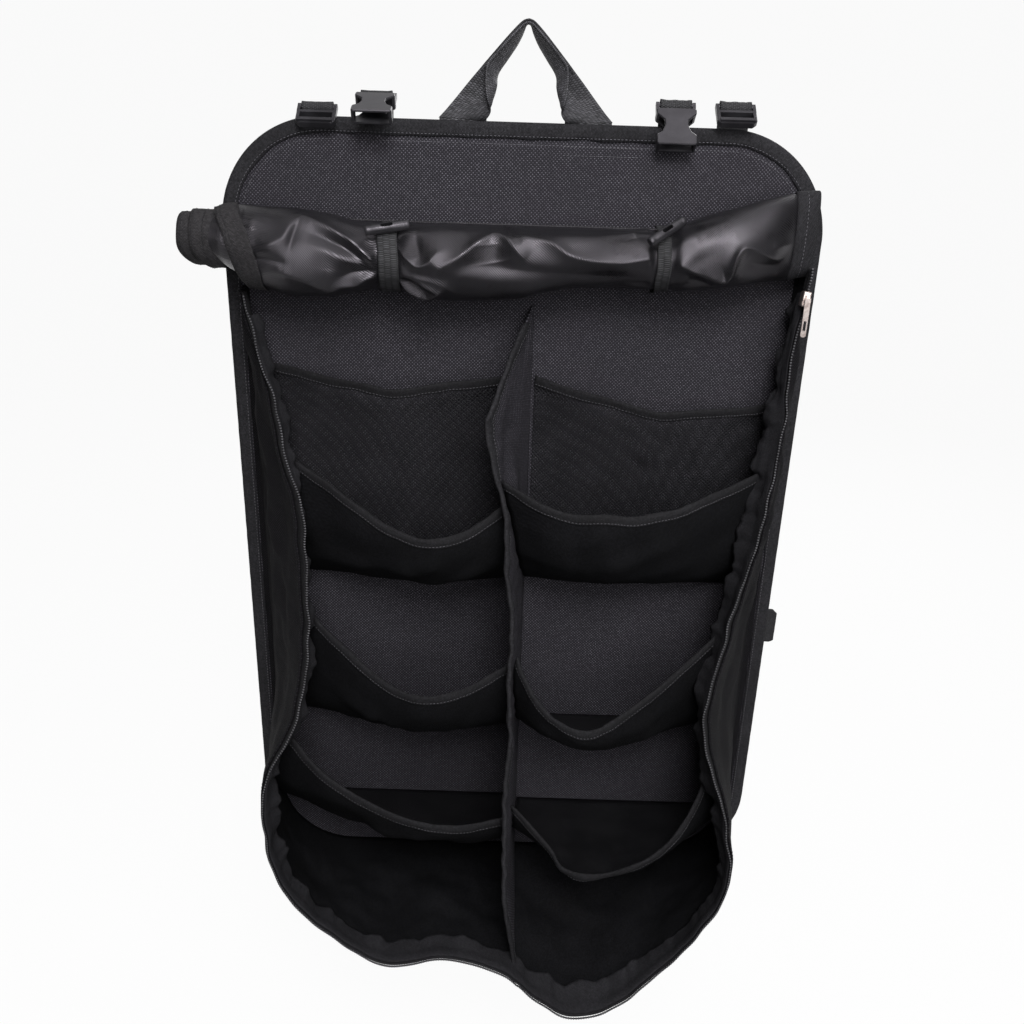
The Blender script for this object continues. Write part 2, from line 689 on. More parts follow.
def make_piece(
    name: str,
    points: Points,
    faces: list[tuple[int, ...]],
    flats: Points,
    finish: Finish,
    lining: Finish | None = None,
    lined: tuple[int, int] = (0, 0),
    closed: bool = False,
) -> bpy.types.Object:
    """A piece of the bag from its points and faces.

    Args:
        name: The piece's name.
        points: Its points.
        faces: The corner numbers of each face.
        flats: Each face corner's place on the flat cloth, in the order of the faces.
        finish: Its finish.
        lining: The finish of its inner face, if that differs.
        lined: The first and the last but one number of the faces that the lining covers.
        closed: Whether the faces of a closed body are turned outwards here.

    Returns:
        The piece, linked to the scene.
    """
    mesh = bpy.data.meshes.new(name)
    mesh.from_pydata(points.tolist(), [], faces)
    layer = mesh.uv_layers.new(name="cloth")
    layer.data.foreach_set("uv", np.asarray(flats, dtype=np.float32).ravel())
    piece = bpy.data.objects.new(name, mesh)
    bpy.context.scene.collection.objects.link(piece)
    mesh.materials.append(finish.material())
    if lining is not None:
        mesh.materials.append(lining.material())
        index = np.zeros(len(faces), dtype=np.int32)
        index[lined[0] : lined[1]] = 1
        mesh.polygons.foreach_set("material_index", index)
    if closed:
        turned_outwards(mesh)
    mesh.shade_smooth()
    return piece


def cloth_piece(
    name: str,
    grid: Points,
    thickness: float,
    finish: Finish,
    lining: Finish | None = None,
    ring: bool = False,
) -> bpy.types.Object:
    """A piece of cloth with its real thickness, half to each side of a grid of points.

    Args:
        name: The piece's name.
        grid: The cloth's middle surface, rows by columns.
        thickness: The cloth's thickness.
        finish: The finish of the face that the columns crossed with the rows point to.
        lining: The finish of the other face, if that differs.
        ring: Whether the columns close to a ring.

    Returns:
        The piece.
    """
    rows, columns = grid.shape[:2]
    half = grid_normals(grid, ring) * thickness / 2
    points = np.concatenate(((grid + half).reshape(-1, 3), (grid - half).reshape(-1, 3)))
    flat = flat_layout(grid, False, ring)
    spans = columns if ring else columns - 1
    corners = squares(rows - 1, spans)
    front = np.stack([a * columns + b % columns for a, b in corners], axis=-1)
    flats = np.stack([flat[a, b] for a, b in corners], axis=1)
    back = front[:, ::-1] + rows * columns
    along, down = np.arange(spans), np.arange(rows - 1)
    last = 0 * along + rows - 1
    ends = [(0 * along, along + 1, 0 * along, along), (last, along, last, along + 1)]
    if not ring:
        ends += [(down, 0 * down, down + 1, 0 * down), (down + 1, 0 * down + spans, down, 0 * down + spans)]
    faces, layouts = [front, back], [flats, flats[:, ::-1]]
    for a, b, c, d in ends:
        first, second = a * columns + b % columns, c * columns + d % columns
        faces.append(np.stack((first, second, second + rows * columns, first + rows * columns), axis=-1))
        layouts.append(np.stack((flat[a, b], flat[c, d], flat[c, d], flat[a, b]), axis=1))
    faces, layouts = np.concatenate(faces).tolist(), np.concatenate(layouts)
    return make_piece(name, points, faces, layouts, finish, lining, (len(front), 2 * len(front)))


def solid_piece(name: str, grid: Points, finish: Finish, ring: bool = False) -> bpy.types.Object:
    """A closed body whose section runs down the rows and whose path runs along the columns.

    Args:
        name: The piece's name.
        grid: Its points. The last row joins the first.
        finish: Its finish.
        ring: Whether the path closes. Otherwise its two ends are capped.

    Returns:
        The piece.
    """
    rows, columns = grid.shape[:2]
    flat = flat_layout(grid, True, ring)
    corners = squares(rows, columns if ring else columns - 1)
    faces = np.stack([(a % rows) * columns + b % columns for a, b in corners], axis=-1).tolist()
    flats = np.stack([flat[a, b] for a, b in corners], axis=1).reshape(-1, 2)
    if not ring:
        for end in (0, columns - 1):
            faces.append([k * columns + end for k in range(rows)])
            flats = np.concatenate((flats, flat[:rows, end]))
    return make_piece(name, grid.reshape(-1, 3), faces, flats, finish, closed=True)


@dataclass
class Spindles:
    """Small spindles along lines, such as stitches or the teeth of a coil, in one piece."""

    length: float = 0.0022
    width: float = 0.0005
    height: float = 0.0004
    pitch: float = 0.0032
    blunt: float = 0.5
    corners: int = 6
    rows: list[tuple[Points, Points, Points]] = field(default_factory=list)

    @staticmethod
    def read(places: Points, run: Points, values: Points) -> Points:
        """Values of a line at distances along it."""
        return joined(*(np.interp(places, run, values[:, k]) for k in range(3)))

    def add(self, line: Points, out: Points, turn: float = 0.0) -> None:
        """Lays a row of spindles along a line.

        Args:
            line: The line's points.
            out: The direction off the surface, at each point or everywhere.
            turn: How far each spindle is turned from the line, in degrees.
        """
        run, out = run_of(line), np.broadcast_to(out, line.shape)
        places = np.arange(self.pitch * 0.5, run[-1], self.pitch)
        near = 0.0006
        middle, square = self.read(places, run, line), unit(self.read(places, run, out))
        along = unit(self.read(places + near, run, line) - self.read(places - near, run, line))
        beside = np.cross(square, along)
        angle = math.radians(turn)
        self.rows.append((middle, unit(along * math.cos(angle) + beside * math.sin(angle)), square))

    def build(self, name: str, finish: Finish) -> bpy.types.Object:
        """All rows as one piece."""
        middle, along, out = (np.concatenate(parts) for parts in zip(*self.rows))
        beside = np.cross(along, out)
        count = self.corners
        sides = np.radians(np.arange(count) * 360.0 / count)
        ring = joined(np.cos(sides), np.sin(sides))
        shoulders = [(end * self.blunt, *place) for end in (-1, 1) for place in ring]
        template = np.array([(-1.0, 0.0, 0.0), *shoulders, (1.0, 0.0, 0.0)])
        template = template * (self.length / 2, self.width / 2, self.height / 2)
        points = middle[:, None] + sum(
            template[None, :, k, None] * axis[:, None] for k, axis in enumerate((along, beside, out))
        )
        local, second, tip = [], 1 + count, 1 + 2 * count
        for k in range(count):
            other = (k + 1) % count
            local.append((0, 1 + other, 1 + k))
            local.append((1 + k, 1 + other, second + other, second + k))
            local.append((second + k, second + other, tip))
        starts = range(0, len(middle) * len(template), len(template))
        faces = [tuple(base + c for c in face) for base in starts for face in local]
        flats = np.zeros((sum(len(face) for face in faces), 2))
        return make_piece(name, points.reshape(-1, 3), faces, flats, finish)


def folded_tape(
    name: str,
    grid: Points,
    cloth: float,
    width: float,
    seed: int,
    stitches: Spindles,
    finish: Finish = TAPE,
    rounding: float = 1.0,
) -> bpy.types.Object:
    """Tape folded over the first row of a cloth and sewn through.

    Args:
        name: The tape's name.
        grid: The cloth's middle surface, whose first row is the bound edge.
        cloth: The cloth's thickness.
        width: How far the tape reaches in from the edge.
        seed: Chooses the tape's unevenness.
        stitches: Where its two rows of stitches are added.
        finish: The tape's finish.
        rounding: How fat the fold is.

    Returns:
        The tape.
    """
    thick = 0.0008
    normals = grid_normals(grid)
    run = run_of(grid[0])
    reach = width * (1.0 + 0.05 * ripple(run, run * 0, (0.03, 1.0), seed))
    lift = cloth / 2 + 0.0003 + thick / 2 + 0.00025 * ripple(run, run * 0, (0.018, 1.0), seed + 1)
    shares = np.array((1.0, 0.94, 0.8, 0.55, 0.3, 0.1, 0.0))
    here = at_depths(grid, grid, shares[:, None] * reach)
    square = unit(at_depths(grid, normals, shares[:, None] * reach))
    swell = np.array((0.75, 0.9, 0.82, 1.05, 1.15, 1.1, 0.95))[:, None, None]
    raised = square * lift[None, :, None] * swell
    over = unit(here[-1] - here[-3])
    turns = [
        here[-1] + over * lift[:, None] * rounding * b + square[-1] * lift[:, None] * a
        for a, b in ((0.7, 0.7), (0.0, 1.0), (-0.7, 0.7))
    ]
    band = np.concatenate((here + raised, turns, (here - raised)[::-1]))
    seam = (0.78 * reach)[None]
    depth = at_depths(grid, grid, seam)[0]
    facing = unit(at_depths(grid, normals, seam))[0]
    for sign in (1.0, -1.0):
        stitches.add(depth + facing * sign * (lift * 0.85 + thick / 2)[:, None], facing * sign)
    return cloth_piece(name, band, thick, finish)


@dataclass(frozen=True)
class BagShape:
    """The sizes and surfaces on which several sub-assemblies meet, as in the CAD part."""

    half_width: float = 0.250
    top: float = -0.072
    height: float = 0.740
    top_radius: float = 0.087
    bottom_radius: float = 0.090
    root_inset: float = 0.019
    root_top: tuple[float, float] = (0.1838, 0.1486)
    gap: float = 0.0004
    wall: float = 0.0016
    bow: tuple[float, float] = (0.010, 0.006)
    floor_share: float = 0.3
    zip_tape: float = 0.014
    divider: float = 0.0018
    divider_root: float = 0.012
    divider_top_drop: float = 0.1445
    divider_foot: tuple[float, float] = (0.0145, 0.160)
    clear: float = 0.0012
    rim_length: float = 1.66
    wall_depth: float = 0.14
    divider_size: tuple[float, float] = (0.65, 0.12)
    webbing_rear: float = 0.0073
    webbing_sewn: float = 0.0147

    @property
    def bottom(self) -> float:
        """The height of the panel's lower edge."""
        return self.top - self.height

    def at_drop(self, drop: float) -> float:
        """The height at a drop."""
        return self.top - drop * self.height

    def stations(self, table: tuple) -> list[tuple[float, ...]]:
        """A table's points as x, out and z, with what follows them."""
        return [(row[0] * self.half_width, row[1], self.at_drop(row[2]), *row[3:]) for row in table]

    def outline(self, inset: float, pitch: float = 0.005) -> Points:
        """The panel's outline drawn in by an inset, as x and z, clockwise from the upper left.

        Args:
            inset: How far it is drawn in.
            pitch: The distance between two points of the whole outline, so that insets match point by point.

        Returns:
            The points of the closed outline.
        """
        half, loop = self.half_width, []
        corners = (
            (self.top_radius - half, self.top - self.top_radius, self.top_radius, 180),
            (half - self.top_radius, self.top - self.top_radius, self.top_radius, 90),
            (half - self.bottom_radius, self.bottom + self.bottom_radius, self.bottom_radius, 0),
            (self.bottom_radius - half, self.bottom + self.bottom_radius, self.bottom_radius, -90),
        )
        for k, (x, z, radius, start) in enumerate(corners):
            count = int(radius * math.pi / 2 / pitch)
            angles = np.radians(start - 90 * np.arange(count + 1) / count)
            reach = radius - inset
            arc = joined(x + reach * np.cos(angles), z + reach * np.sin(angles))
            xn, zn, next_radius, next_start = corners[(k + 1) % 4]
            turn, last = math.radians(next_start), angles[-1]
            next_reach = next_radius - inset
            ahead = np.array((xn + next_reach * math.cos(turn), zn + next_reach * math.sin(turn)))
            whole = np.array((xn + next_radius * math.cos(turn), zn + next_radius * math.sin(turn)))
            here = np.array((x + radius * math.cos(last), z + radius * math.sin(last)))
            steps = max(2, int(np.hypot(*(whole - here)) / pitch))
            t = (np.arange(1, steps) / steps)[:, None]
            loop += [arc, arc[-1] + (ahead - arc[-1]) * t]
        return np.concatenate(loop)

    @cached_property
    def root(self) -> Points:
        """The seam of the walls on the panel's face: down the left side, round and up the right."""
        half, radius = self.half_width - self.root_inset, self.bottom_radius - self.root_inset
        floor = self.bottom + self.root_inset
        turn = np.radians(np.linspace(180, 270, 13))
        left = [(radius - half + radius * math.cos(a), floor + radius + radius * math.sin(a)) for a in turn]
        loop = [(-half, self.at_drop(self.root_top[0])), *left, *((-x, z) for x, z in reversed(left))]
        loop.append((half, self.at_drop(self.root_top[1])))
        return np.array([(x, self.gap + self.wall / 2, z) for x, z in loop])

    @cached_property
    def rim(self) -> Points:
        """The compartment's open edge."""
        return smooth_line(self.stations(RIM))

    def wall_points(self, share: Points, rise: Points) -> Points:
        """Points (x, out, z) of the compartment's wall, with its folds.

        Args:
            share: How far round the seam they lie, from the upper left.
            rise: How far up from the seam to the rim.

        Returns:
            The points.
        """
        share = np.asarray(share, dtype=float)
        root, rim = at_share(self.root, share), at_share(self.rim, share)
        rise = np.broadcast_to(np.asarray(rise, dtype=float), share.shape)
        side = np.clip(np.abs(2 * share - 1.0) - self.floor_share, 0.0, 1.0) / (1.0 - self.floor_share)
        swell = 0.55 - 0.45 * np.cos(6 * math.pi * share)
        bulge = np.sin(math.pi * rise)
        run, up = share * self.rim_length, rise * self.wall_depth
        middle = 0.47 + 0.10 * np.sin(share * 21.0)
        crest = 0.0045 * np.exp(-np.abs((rise - middle) / 0.16) ** 1.3)
        fold = crest - 0.0032 * np.exp(-(((rise - middle - 0.2) / 0.12) ** 2))
        slack = 0.0022 * ripple(run, up, (0.11, 0.055), 4) + 0.0008 * ripple(run, up, (0.035, 0.03), 5)
        points = root + (rim - root) * rise[..., None]
        bow = np.where(root[..., 0] < 0.0, *self.bow)
        pushed = bow * bulge * side * swell + (fold + slack) * bulge * np.sqrt(side)
        points[..., 0] += pushed * np.sign(root[..., 0])
        points[..., 2] -= (0.003 + 1.2 * slack) * bulge * (1.0 - side) ** 2
        ragged = 0.0011 * ripple(run, up, (0.05, 9.0), 6) * eased(0.8, 1.0, rise)
        points[..., 0] += ragged * np.sign(root[..., 0])
        return points

    def across_at(
        self,
        sheet: Callable[[Points, Points], Points],
        edge: Points,
        share: Points,
        out: float,
        z: float,
    ) -> float:
        """Where an upright sheet lies at a distance out and a height.

        Args:
            sheet: Gives the sheet's points from a share along and a rise.
            edge: The sheet's front edge.
            share: The shares that are searched.
            out: The distance in front of the panel.
            z: The height.

        Returns:
            Its x.
        """
        reach = at_share(edge, share)[..., 1]
        points = sheet(share, np.clip(out / reach, 0.0, 1.0))
        order = np.argsort(points[..., 2])
        return float(np.interp(z, points[order, 2], points[order, 0]))

    def wall_x(self, side: Side, out: float, z: float) -> float:
        """Where a side wall's middle surface lies at a distance out and a height."""
        share = np.linspace(0.0, 0.40, 160)
        return self.across_at(self.wall_points, self.rim, share if side is Side.LEFT else 1.0 - share, out, z)

    def floor_z(self, x: float, out: float) -> float:
        """The height of the compartment's floor, at its middle surface."""
        share = np.linspace(0.36, 0.64, 120)
        points = self.wall_points(share, np.clip(out / at_share(self.rim, share)[..., 1], 0.0, 1.0))
        return float(np.interp(x, points[..., 0], points[..., 2]))

    def off_wall(self, share: Points, back: Points, inward: Points) -> Points:
        """World points of what is sewn to the wall.

        Args:
            share: How far round the rim.
            back: The distance back from the rim, along the wall.
            inward: The distance inwards from the wall's middle surface.

        Returns:
            The points.
        """
        share = np.asarray(share, dtype=float)
        root, rim = self.wall_points(share, 0.0), self.wall_points(share, 1.0)
        rise = 1.0 - np.asarray(back) / np.linalg.norm(rim - root, axis=-1)
        here, ahead, behind = (
            self.wall_points(np.clip(share + step, 0, 1), rise) * (1, -1, 1) for step in (0.0, 0.002, -0.002)
        )
        forward = (rim - root) * (1, -1, 1)
        return here + unit(np.cross(forward, ahead - behind)) * np.broadcast_to(inward, share.shape)[:, None]

    @cached_property
    def divider_line(self) -> Points:
        """The divider's front edge, down to just over the floor."""
        x, out = self.divider_foot
        foot = self.floor_z(x, out) + self.wall / 2 + self.clear
        return smooth_line((*self.stations(DIVIDER_EDGE), (x, out, foot)), steps=8)

    def divider_points(self, share: Points, rise: Points) -> Points:
        """Points (x, out, z) of the divider, with its folds: a share down, and a rise from the panel."""
        share = np.asarray(share, dtype=float)
        edge = at_share(self.divider_line, share)
        rise = np.broadcast_to(np.asarray(rise, dtype=float), share.shape)
        foot = self.floor_z(self.divider_root, 0.0) + self.wall / 2 + self.clear
        high = self.top - self.divider_top_drop
        root = joined(self.divider_root, self.gap, high + (foot - high) * share)
        points = root + (edge - root) * rise[..., None]
        held = np.sin(math.pi * np.clip(share, 0, 1)) ** 0.5
        down, forward = share * self.divider_size[0], rise * self.divider_size[1]
        kink = 0.0016 * ripple(down, forward, (0.075, 0.07), 11)
        kink = kink + 0.0009 * ripple(down, forward, (0.03, 0.05), 12)
        points[..., 0] += kink * held * np.clip(rise * 2.0, 0.0, 1.0)
        return points

    def divider_x(self, out: float, z: float) -> float:
        """Where the divider's middle surface lies at a distance out and a height."""
        share = np.linspace(0.0, 1.0, 160)
        return self.across_at(self.divider_points, self.divider_line, share, out, z)


SHAPE = BagShape()


@dataclass
class PaddedPanel:
    """The padded back panel, its binding and its seams."""

    margin: float = 0.0155
    crown: float = 0.0009
    rear_crown: float = 0.0022
    binding: float = 0.0125
    face: float = 0.0016
    rear: float = 0.0048
    back: float = 0.009
    insets: tuple[float, ...] = (
        0.002, 0.006, 0.010, 0.0135, 0.0150, 0.0160, 0.0175, 0.020, 0.025, 0.032, 0.041, 0.052, 0.066, 0.083,
    )
    rings: int = 22
    spine_end: float = 0.27
    weld: float = 1e-5

    def padding(self) -> bpy.types.Object:
        """The panel's cloth over its foam: margin, step and crowned field on both faces."""
        loops = [SHAPE.outline(inset) for inset in self.insets]
        core = loops[-1]
        low, high = SHAPE.bottom + self.spine_end, SHAPE.top - self.spine_end
        spine = joined(0.0, np.clip(core[:, 1], low, high))
        loops += [core + (spine - core) * t for t in np.linspace(0.0, 1.0, self.rings)[1:]]
        inner = np.linspace(self.insets[-1], SHAPE.half_width, self.rings)[1:]
        insets = np.concatenate((self.insets, inner))
        order = [*range(len(loops))[::-1], *range(len(loops))]
        rows = []
        for k, place in enumerate(order):
            loop, inset, front = loops[place], insets[place], k < len(loops)
            x, z = loop.T
            step = eased(0.0140, 0.0172, inset)
            crown = eased(0.0150, 0.16, inset)
            soft = ripple(x, z, (0.16, 0.13), 21) * 0.0005 * crown
            soft = soft + ripple(x, z, (0.05, 0.05), 22) * 0.00018 * step
            if front:
                y = self.face * (1.0 - step) - self.crown * crown - soft
            else:
                rise = self.back - 0.0016 - self.rear
                y = self.rear + rise * step + self.rear_crown * crown + soft * 1.6
            rows.append(joined(x, y, z))
        grid = np.array(rows)
        piece = self.shell("padded_panel", grid)
        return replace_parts(piece, "back_panel")

    def shell(self, name: str, grid: Points) -> bpy.types.Object:
        """A closed body from rings. The first and the last lie flat on each other and are welded.

        Args:
            name: The piece's name.
            grid: Its rings. Their x and z are the cloth's layout.

        Returns:
            The piece.
        """
        rows, columns = grid.shape[:2]
        faces = np.stack([a * columns + b % columns for a, b in squares(rows - 1, columns)], axis=-1)
        points = grid.reshape(-1, 3)
        piece = make_piece(name, points, faces.tolist(), points[faces.ravel()][:, (0, 2)], BALLISTIC)
        turned_outwards(piece.data, self.weld)
        return piece

    def edge_binding(self) -> bpy.types.Object:
        """The tape folded round the panel's margin."""
        section = (
            (0.0125, 0.0009), (0.0122, -0.0001), (0.0090, -0.0005), (0.0050, -0.0006), (0.0016, -0.0004),
            (0.0003, 0.0010), (-0.0002, 0.0032), (0.0003, 0.0054), (0.0016, 0.0068), (0.0060, 0.0070),
            (0.0122, 0.0066), (0.0125, 0.0058), (0.0122, 0.0050), (0.0122, 0.0014),
        )
        pitch = 0.004
        base = SHAPE.outline(0.0, pitch)
        inward = unit(SHAPE.outline(0.01, pitch) - base)
        run = run_of(np.concatenate((base, base[:1])))[:-1]
        uneven = 0.0005 * ripple(run, run * 0, (0.045, 1.0), 31)
        puff = 0.00022 * ripple(run, run * 0, (0.017, 1.0), 32)
        rows = []
        for inset, y in section:
            loop = SHAPE.outline(inset, pitch) + inward * (uneven * (inset > 0.008))[:, None]
            rows.append(joined(loop[:, 0], y + puff * np.sign(y - 0.0032), loop[:, 1]))
        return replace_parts(solid_piece("panel_binding", np.array(rows), TAPE, ring=True), "back_binding")

    def seams(self) -> bpy.types.Object:
        """The bright stitches on the binding and along the padding's edge, and the bars over the padding."""
        stitches = Spindles(pitch=0.0031)
        for inset, y, sign in ((0.0106, -0.0007, -1.0), (0.0106, 0.0072, 1.0), (0.0168, -0.0002, -1.0)):
            loop = SHAPE.outline(inset, 0.004)
            line = joined(loop[:, 0], y, loop[:, 1])
            stitches.add(np.concatenate((line, line[:1])), (0.0, sign, 0.0))
        for drop in (0.0172, 0.0238):
            line = joined(np.linspace(0.030, 0.094, 30), -0.0003, SHAPE.top - drop)
            stitches.add(line, (0.0, -1.0, 0.0))
        return stitches.build("panel_stitches", THREAD)

    def build(self) -> None:
        """Builds the panel."""
        for piece in (self.padding(), self.edge_binding(), self.seams()):
            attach(piece, "bag")
            LOG.info("%s: %d faces", piece.name, len(piece.data.polygons))


@dataclass
class Compartment:
    """The front compartment's wall, with the zip along its rim and the facing behind the zip."""

    columns: int = 560
    allowance: float = 0.005
    tape_thickness: float = 0.0008
    coil: float = 0.0015
    core: float = 0.0007
    facing: float = 0.024
    stand: tuple[float, float] = (0.0065, 0.0125)

    @property
    def inward(self) -> float:
        """From the wall's middle surface to the middle of the zip's tape."""
        return SHAPE.wall / 2 + 0.0006 + self.tape_thickness / 2

    def wall(self) -> bpy.types.Object:
        """The gusset, one run of cloth from the upper left round the floor to the upper right."""
        share = np.linspace(0.0, 1.0, self.columns)
        root = SHAPE.wall_points(share, 0.0)
        length = np.linalg.norm(SHAPE.wall_points(share, 1.0) - root, axis=-1)
        outline = np.gradient(root[:, [0, 2]], axis=0)
        away = unit(np.stack((outline[:, 1], -outline[:, 0]), axis=-1))
        hem = root.copy()
        hem[:, [0, 2]] += away * self.allowance
        top = 1.0 - SHAPE.zip_tape / 2 / length
        rows = [hem] + [SHAPE.wall_points(share, rise * top) for rise in np.linspace(0.0, 1.0, 30)]
        grid = np.array([out_to_world(*row.T) for row in rows])
        piece = cloth_piece("compartment_wall", grid, SHAPE.wall, WALL_CLOTH, LINING)
        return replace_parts(piece, "gusset_left", "gusset_floor", "gusset_right")

    def zip_tape(self) -> bpy.types.Object:
        """The zip's tape inside the wall's edge, up to the coil."""
        share = np.linspace(0.0, 1.0, self.columns)
        backs = np.linspace(SHAPE.zip_tape, 0.0, 6)
        grid = np.array([SHAPE.off_wall(share, back, self.inward) for back in backs])
        piece = cloth_piece("zip_tape_band", grid, self.tape_thickness, DARK_TAPE)
        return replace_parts(piece, "zipper_tape")

    def zip_coil(self) -> list[bpy.types.Object]:
        """The coil: a core cord and the loops of the filament across it."""
        share = np.linspace(0.0, 1.0, 900)
        line = SHAPE.off_wall(share, -(self.coil + SHAPE.gap), self.inward)
        behind = SHAPE.off_wall(share, 0.004, self.inward)
        reach = unit(line - behind)
        across = unit(np.cross(np.gradient(line, axis=0), reach))
        angles = np.radians(np.arange(8) * 45.0)
        core = np.stack([line + (reach * math.cos(a) + across * math.sin(a)) * self.core for a in angles])
        cord = solid_piece("coil_core", core, DARK_TAPE)
        teeth = Spindles(length=0.0026, width=0.0013, height=0.0017, pitch=0.0023, blunt=0.55)
        teeth.add(line, across, turn=86.0)
        return [cord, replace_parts(teeth.build("zip_coil_teeth", COIL), "zipper_coil")]

    def zip_facing(self) -> bpy.types.Object:
        """The loose facing behind the zip, with its wavy free edge."""
        share = np.linspace(0.012, 0.988, 700)
        run = share * 1.7
        narrow = 0.62 + 0.38 * eased(0.0, 0.05, share - 0.5) + 0.5 * np.exp(-(((share - 0.5) / 0.2) ** 4))
        narrow = narrow + 0.35 * np.exp(-(((share - 0.32) / 0.06) ** 4))
        wide = self.facing * np.clip(narrow, 0.0, 1.25) + 0.0022 * ripple(run, run * 0, (0.05, 1.0), 41)
        wave = 0.0023 * ripple(run, run * 0, (0.045, 1.0), 42)
        wave = wave + 0.0011 * ripple(run, run * 0, (0.019, 1.0), 43)
        side = np.abs(2.0 * share - 1.0)
        proud = eased(0.26, 0.46, side) * (1.0 - eased(0.90, 0.97, side))
        stand = np.where(share < 0.5, *self.stand) * proud
        start = self.inward + self.tape_thickness / 2 + 0.0008
        rows = []
        for t in np.linspace(0.0, 1.0, 12):
            puff = 0.0009 * math.sin(math.pi * min(1.0, 2.5 * t))
            lift = puff + (0.0030 + stand + (1.0 + 0.6 * proud) * wave) * t**1.3
            rows.append(SHAPE.off_wall(share, 0.002 + (wide - 0.002) * t, start + np.maximum(lift, 0.0)))
        piece = cloth_piece("zip_facing", np.array(rows), 0.0008, FACING)
        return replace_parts(piece, "zip_facing_left", "zip_facing_right")

    def seams(self) -> bpy.types.Object:
        """The stitches that hold the tape to the wall, seen on the outside and the inside."""
        share = np.linspace(0.002, 0.998, 700)
        stitches = Spindles(length=0.0021, width=0.00045, height=0.00035, pitch=0.0032)
        outside, inside = -SHAPE.wall / 2 - 0.0001, self.inward + 0.0016
        for back, inward, sign in ((0.0095, outside, -1.0), (0.0035, inside, 1.0)):
            line = SHAPE.off_wall(share, back, inward)
            stitches.add(line, unit(SHAPE.off_wall(share, back, inward + 0.001) - line) * sign)
        return stitches.build("zip_stitches", DARK_THREAD)

    def build(self) -> None:
        """Builds the compartment's wall."""
        for piece in (self.wall(), self.zip_tape(), *self.zip_coil(), self.zip_facing(), self.seams()):
            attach(piece, "bag")
            LOG.info("%s: %d faces", piece.name, len(piece.data.polygons))


@dataclass
class Divider:
    """The upright wall between the two columns of pockets, with its bound front edge."""

    tape: float = 0.0085

    def build(self) -> None:
        """Builds the divider and its tape."""
        share = np.linspace(0.0, 1.0, 150)
        rises = np.linspace(1.0, 0.0, 34)
        grid = np.array([out_to_world(*SHAPE.divider_points(share, rise).T) for rise in rises])
        sheet = cloth_piece("divider_wall", grid, SHAPE.divider, BALLISTIC)
        stitches = Spindles(length=0.0021, width=0.0005, height=0.0004, pitch=0.0031)
        tape = folded_tape("divider_tape", grid[:, 4:], SHAPE.divider, self.tape, 51, stitches, rounding=1.3)
        seam = stitches.build("divider_stitches", THREAD)
        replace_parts(sheet, "center_divider")
        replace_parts(tape, "divider_binding")
        for piece in (sheet, tape, seam):
            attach(piece, "bag")
            LOG.info("%s: %d faces", piece.name, len(piece.data.polygons))


@dataclass
class HammockPocket:
    """A deep pocket slung between the side wall, the divider and the panel, with a bound rim."""

    side: Side
    level: Level
    rim: tuple[tuple[float, float, float], ...]
    seam: float
    flat: tuple[float, float]
    thickness: float = 0.0014
    belly: float = 0.72
    tape: float = 0.0065
    size: tuple[float, float] = (0.2, 0.12)

    def grid(self) -> Points:
        """The pocket's cloth, from its rim down to its seam on the panel."""
        line = smooth_line([(share, out, SHAPE.at_drop(drop)) for share, out, drop in self.rim], steps=8)
        seam = SHAPE.at_drop(self.seam)
        shares, drops = np.linspace(0.0, 1.0, 46), np.linspace(0.0, 1.0, 30)
        along = shares * self.size[0]
        seed = 60 + 10 * (self.side is Side.RIGHT) + len(self.level.value)
        sign = -self.side.value
        rows = []
        for drop in drops:
            out, z = (np.interp(shares, line[:, 0], line[:, k]) for k in (1, 2))
            hold = np.sin(math.pi * shares) ** 0.6
            wander = 0.0016 * ripple(along, shares * 0, (0.055, 1.0), seed)
            out, z = out + wander * hold, z + 0.9 * wander * hold
            keep, pull, end = (1 - drop) ** 2, 2 * drop * (1 - drop), drop**2
            here_out = keep * out + pull * out + end * (SHAPE.gap + self.thickness / 2)
            here_z = keep * z + pull * (z + self.belly * (seam - z)) + end * seam
            loose = hold * math.sin(math.pi * min(drop * 1.15, 1.0)) ** 0.8
            down = drop * self.size[1] + 0 * shares
            slack = 0.0024 * ripple(along, down, (0.075, 0.05), seed + 1)
            slack = slack + 0.0011 * ripple(along, down, (0.026, 0.06), seed + 2)
            here_out = here_out + slack * loose
            here_z = here_z - np.abs(slack) * loose * 0.6
            row = []
            for share, one_out, one_z in zip(shares, here_out, here_z):
                outer = SHAPE.wall_x(self.side, one_out, one_z) + sign * (SHAPE.wall / 2 + SHAPE.clear)
                inner = SHAPE.divider_x(one_out, one_z) - sign * (SHAPE.divider / 2 + SHAPE.clear)
                row.append((outer + (inner - outer) * share, -one_out, one_z))
            rows.append(row if self.side is Side.LEFT else row[::-1])
        return np.array(rows)

    def build(self, stitches: Spindles) -> None:
        """Builds the pocket and its rim tape.

        Args:
            stitches: Where the rim's stitches are added.
        """
        grid = self.grid()
        place = f"{self.side.word}_{self.level.value}"
        cloth = cloth_piece(f"hammock_{place}", grid, self.thickness, COATED_INSIDE, LINING)
        name, seed = f"hammock_tape_{place}", 80 + len(place)
        tape = folded_tape(name, grid, self.thickness, self.tape, seed, stitches, DARK_TAPE, 1.4)
        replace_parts(cloth, f"pocket_{place}")
        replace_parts(tape, f"pocket_binding_{place}")
        for piece in (cloth, tape):
            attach(piece, "bag")
            LOG.info("%s: %d faces", piece.name, len(piece.data.polygons))


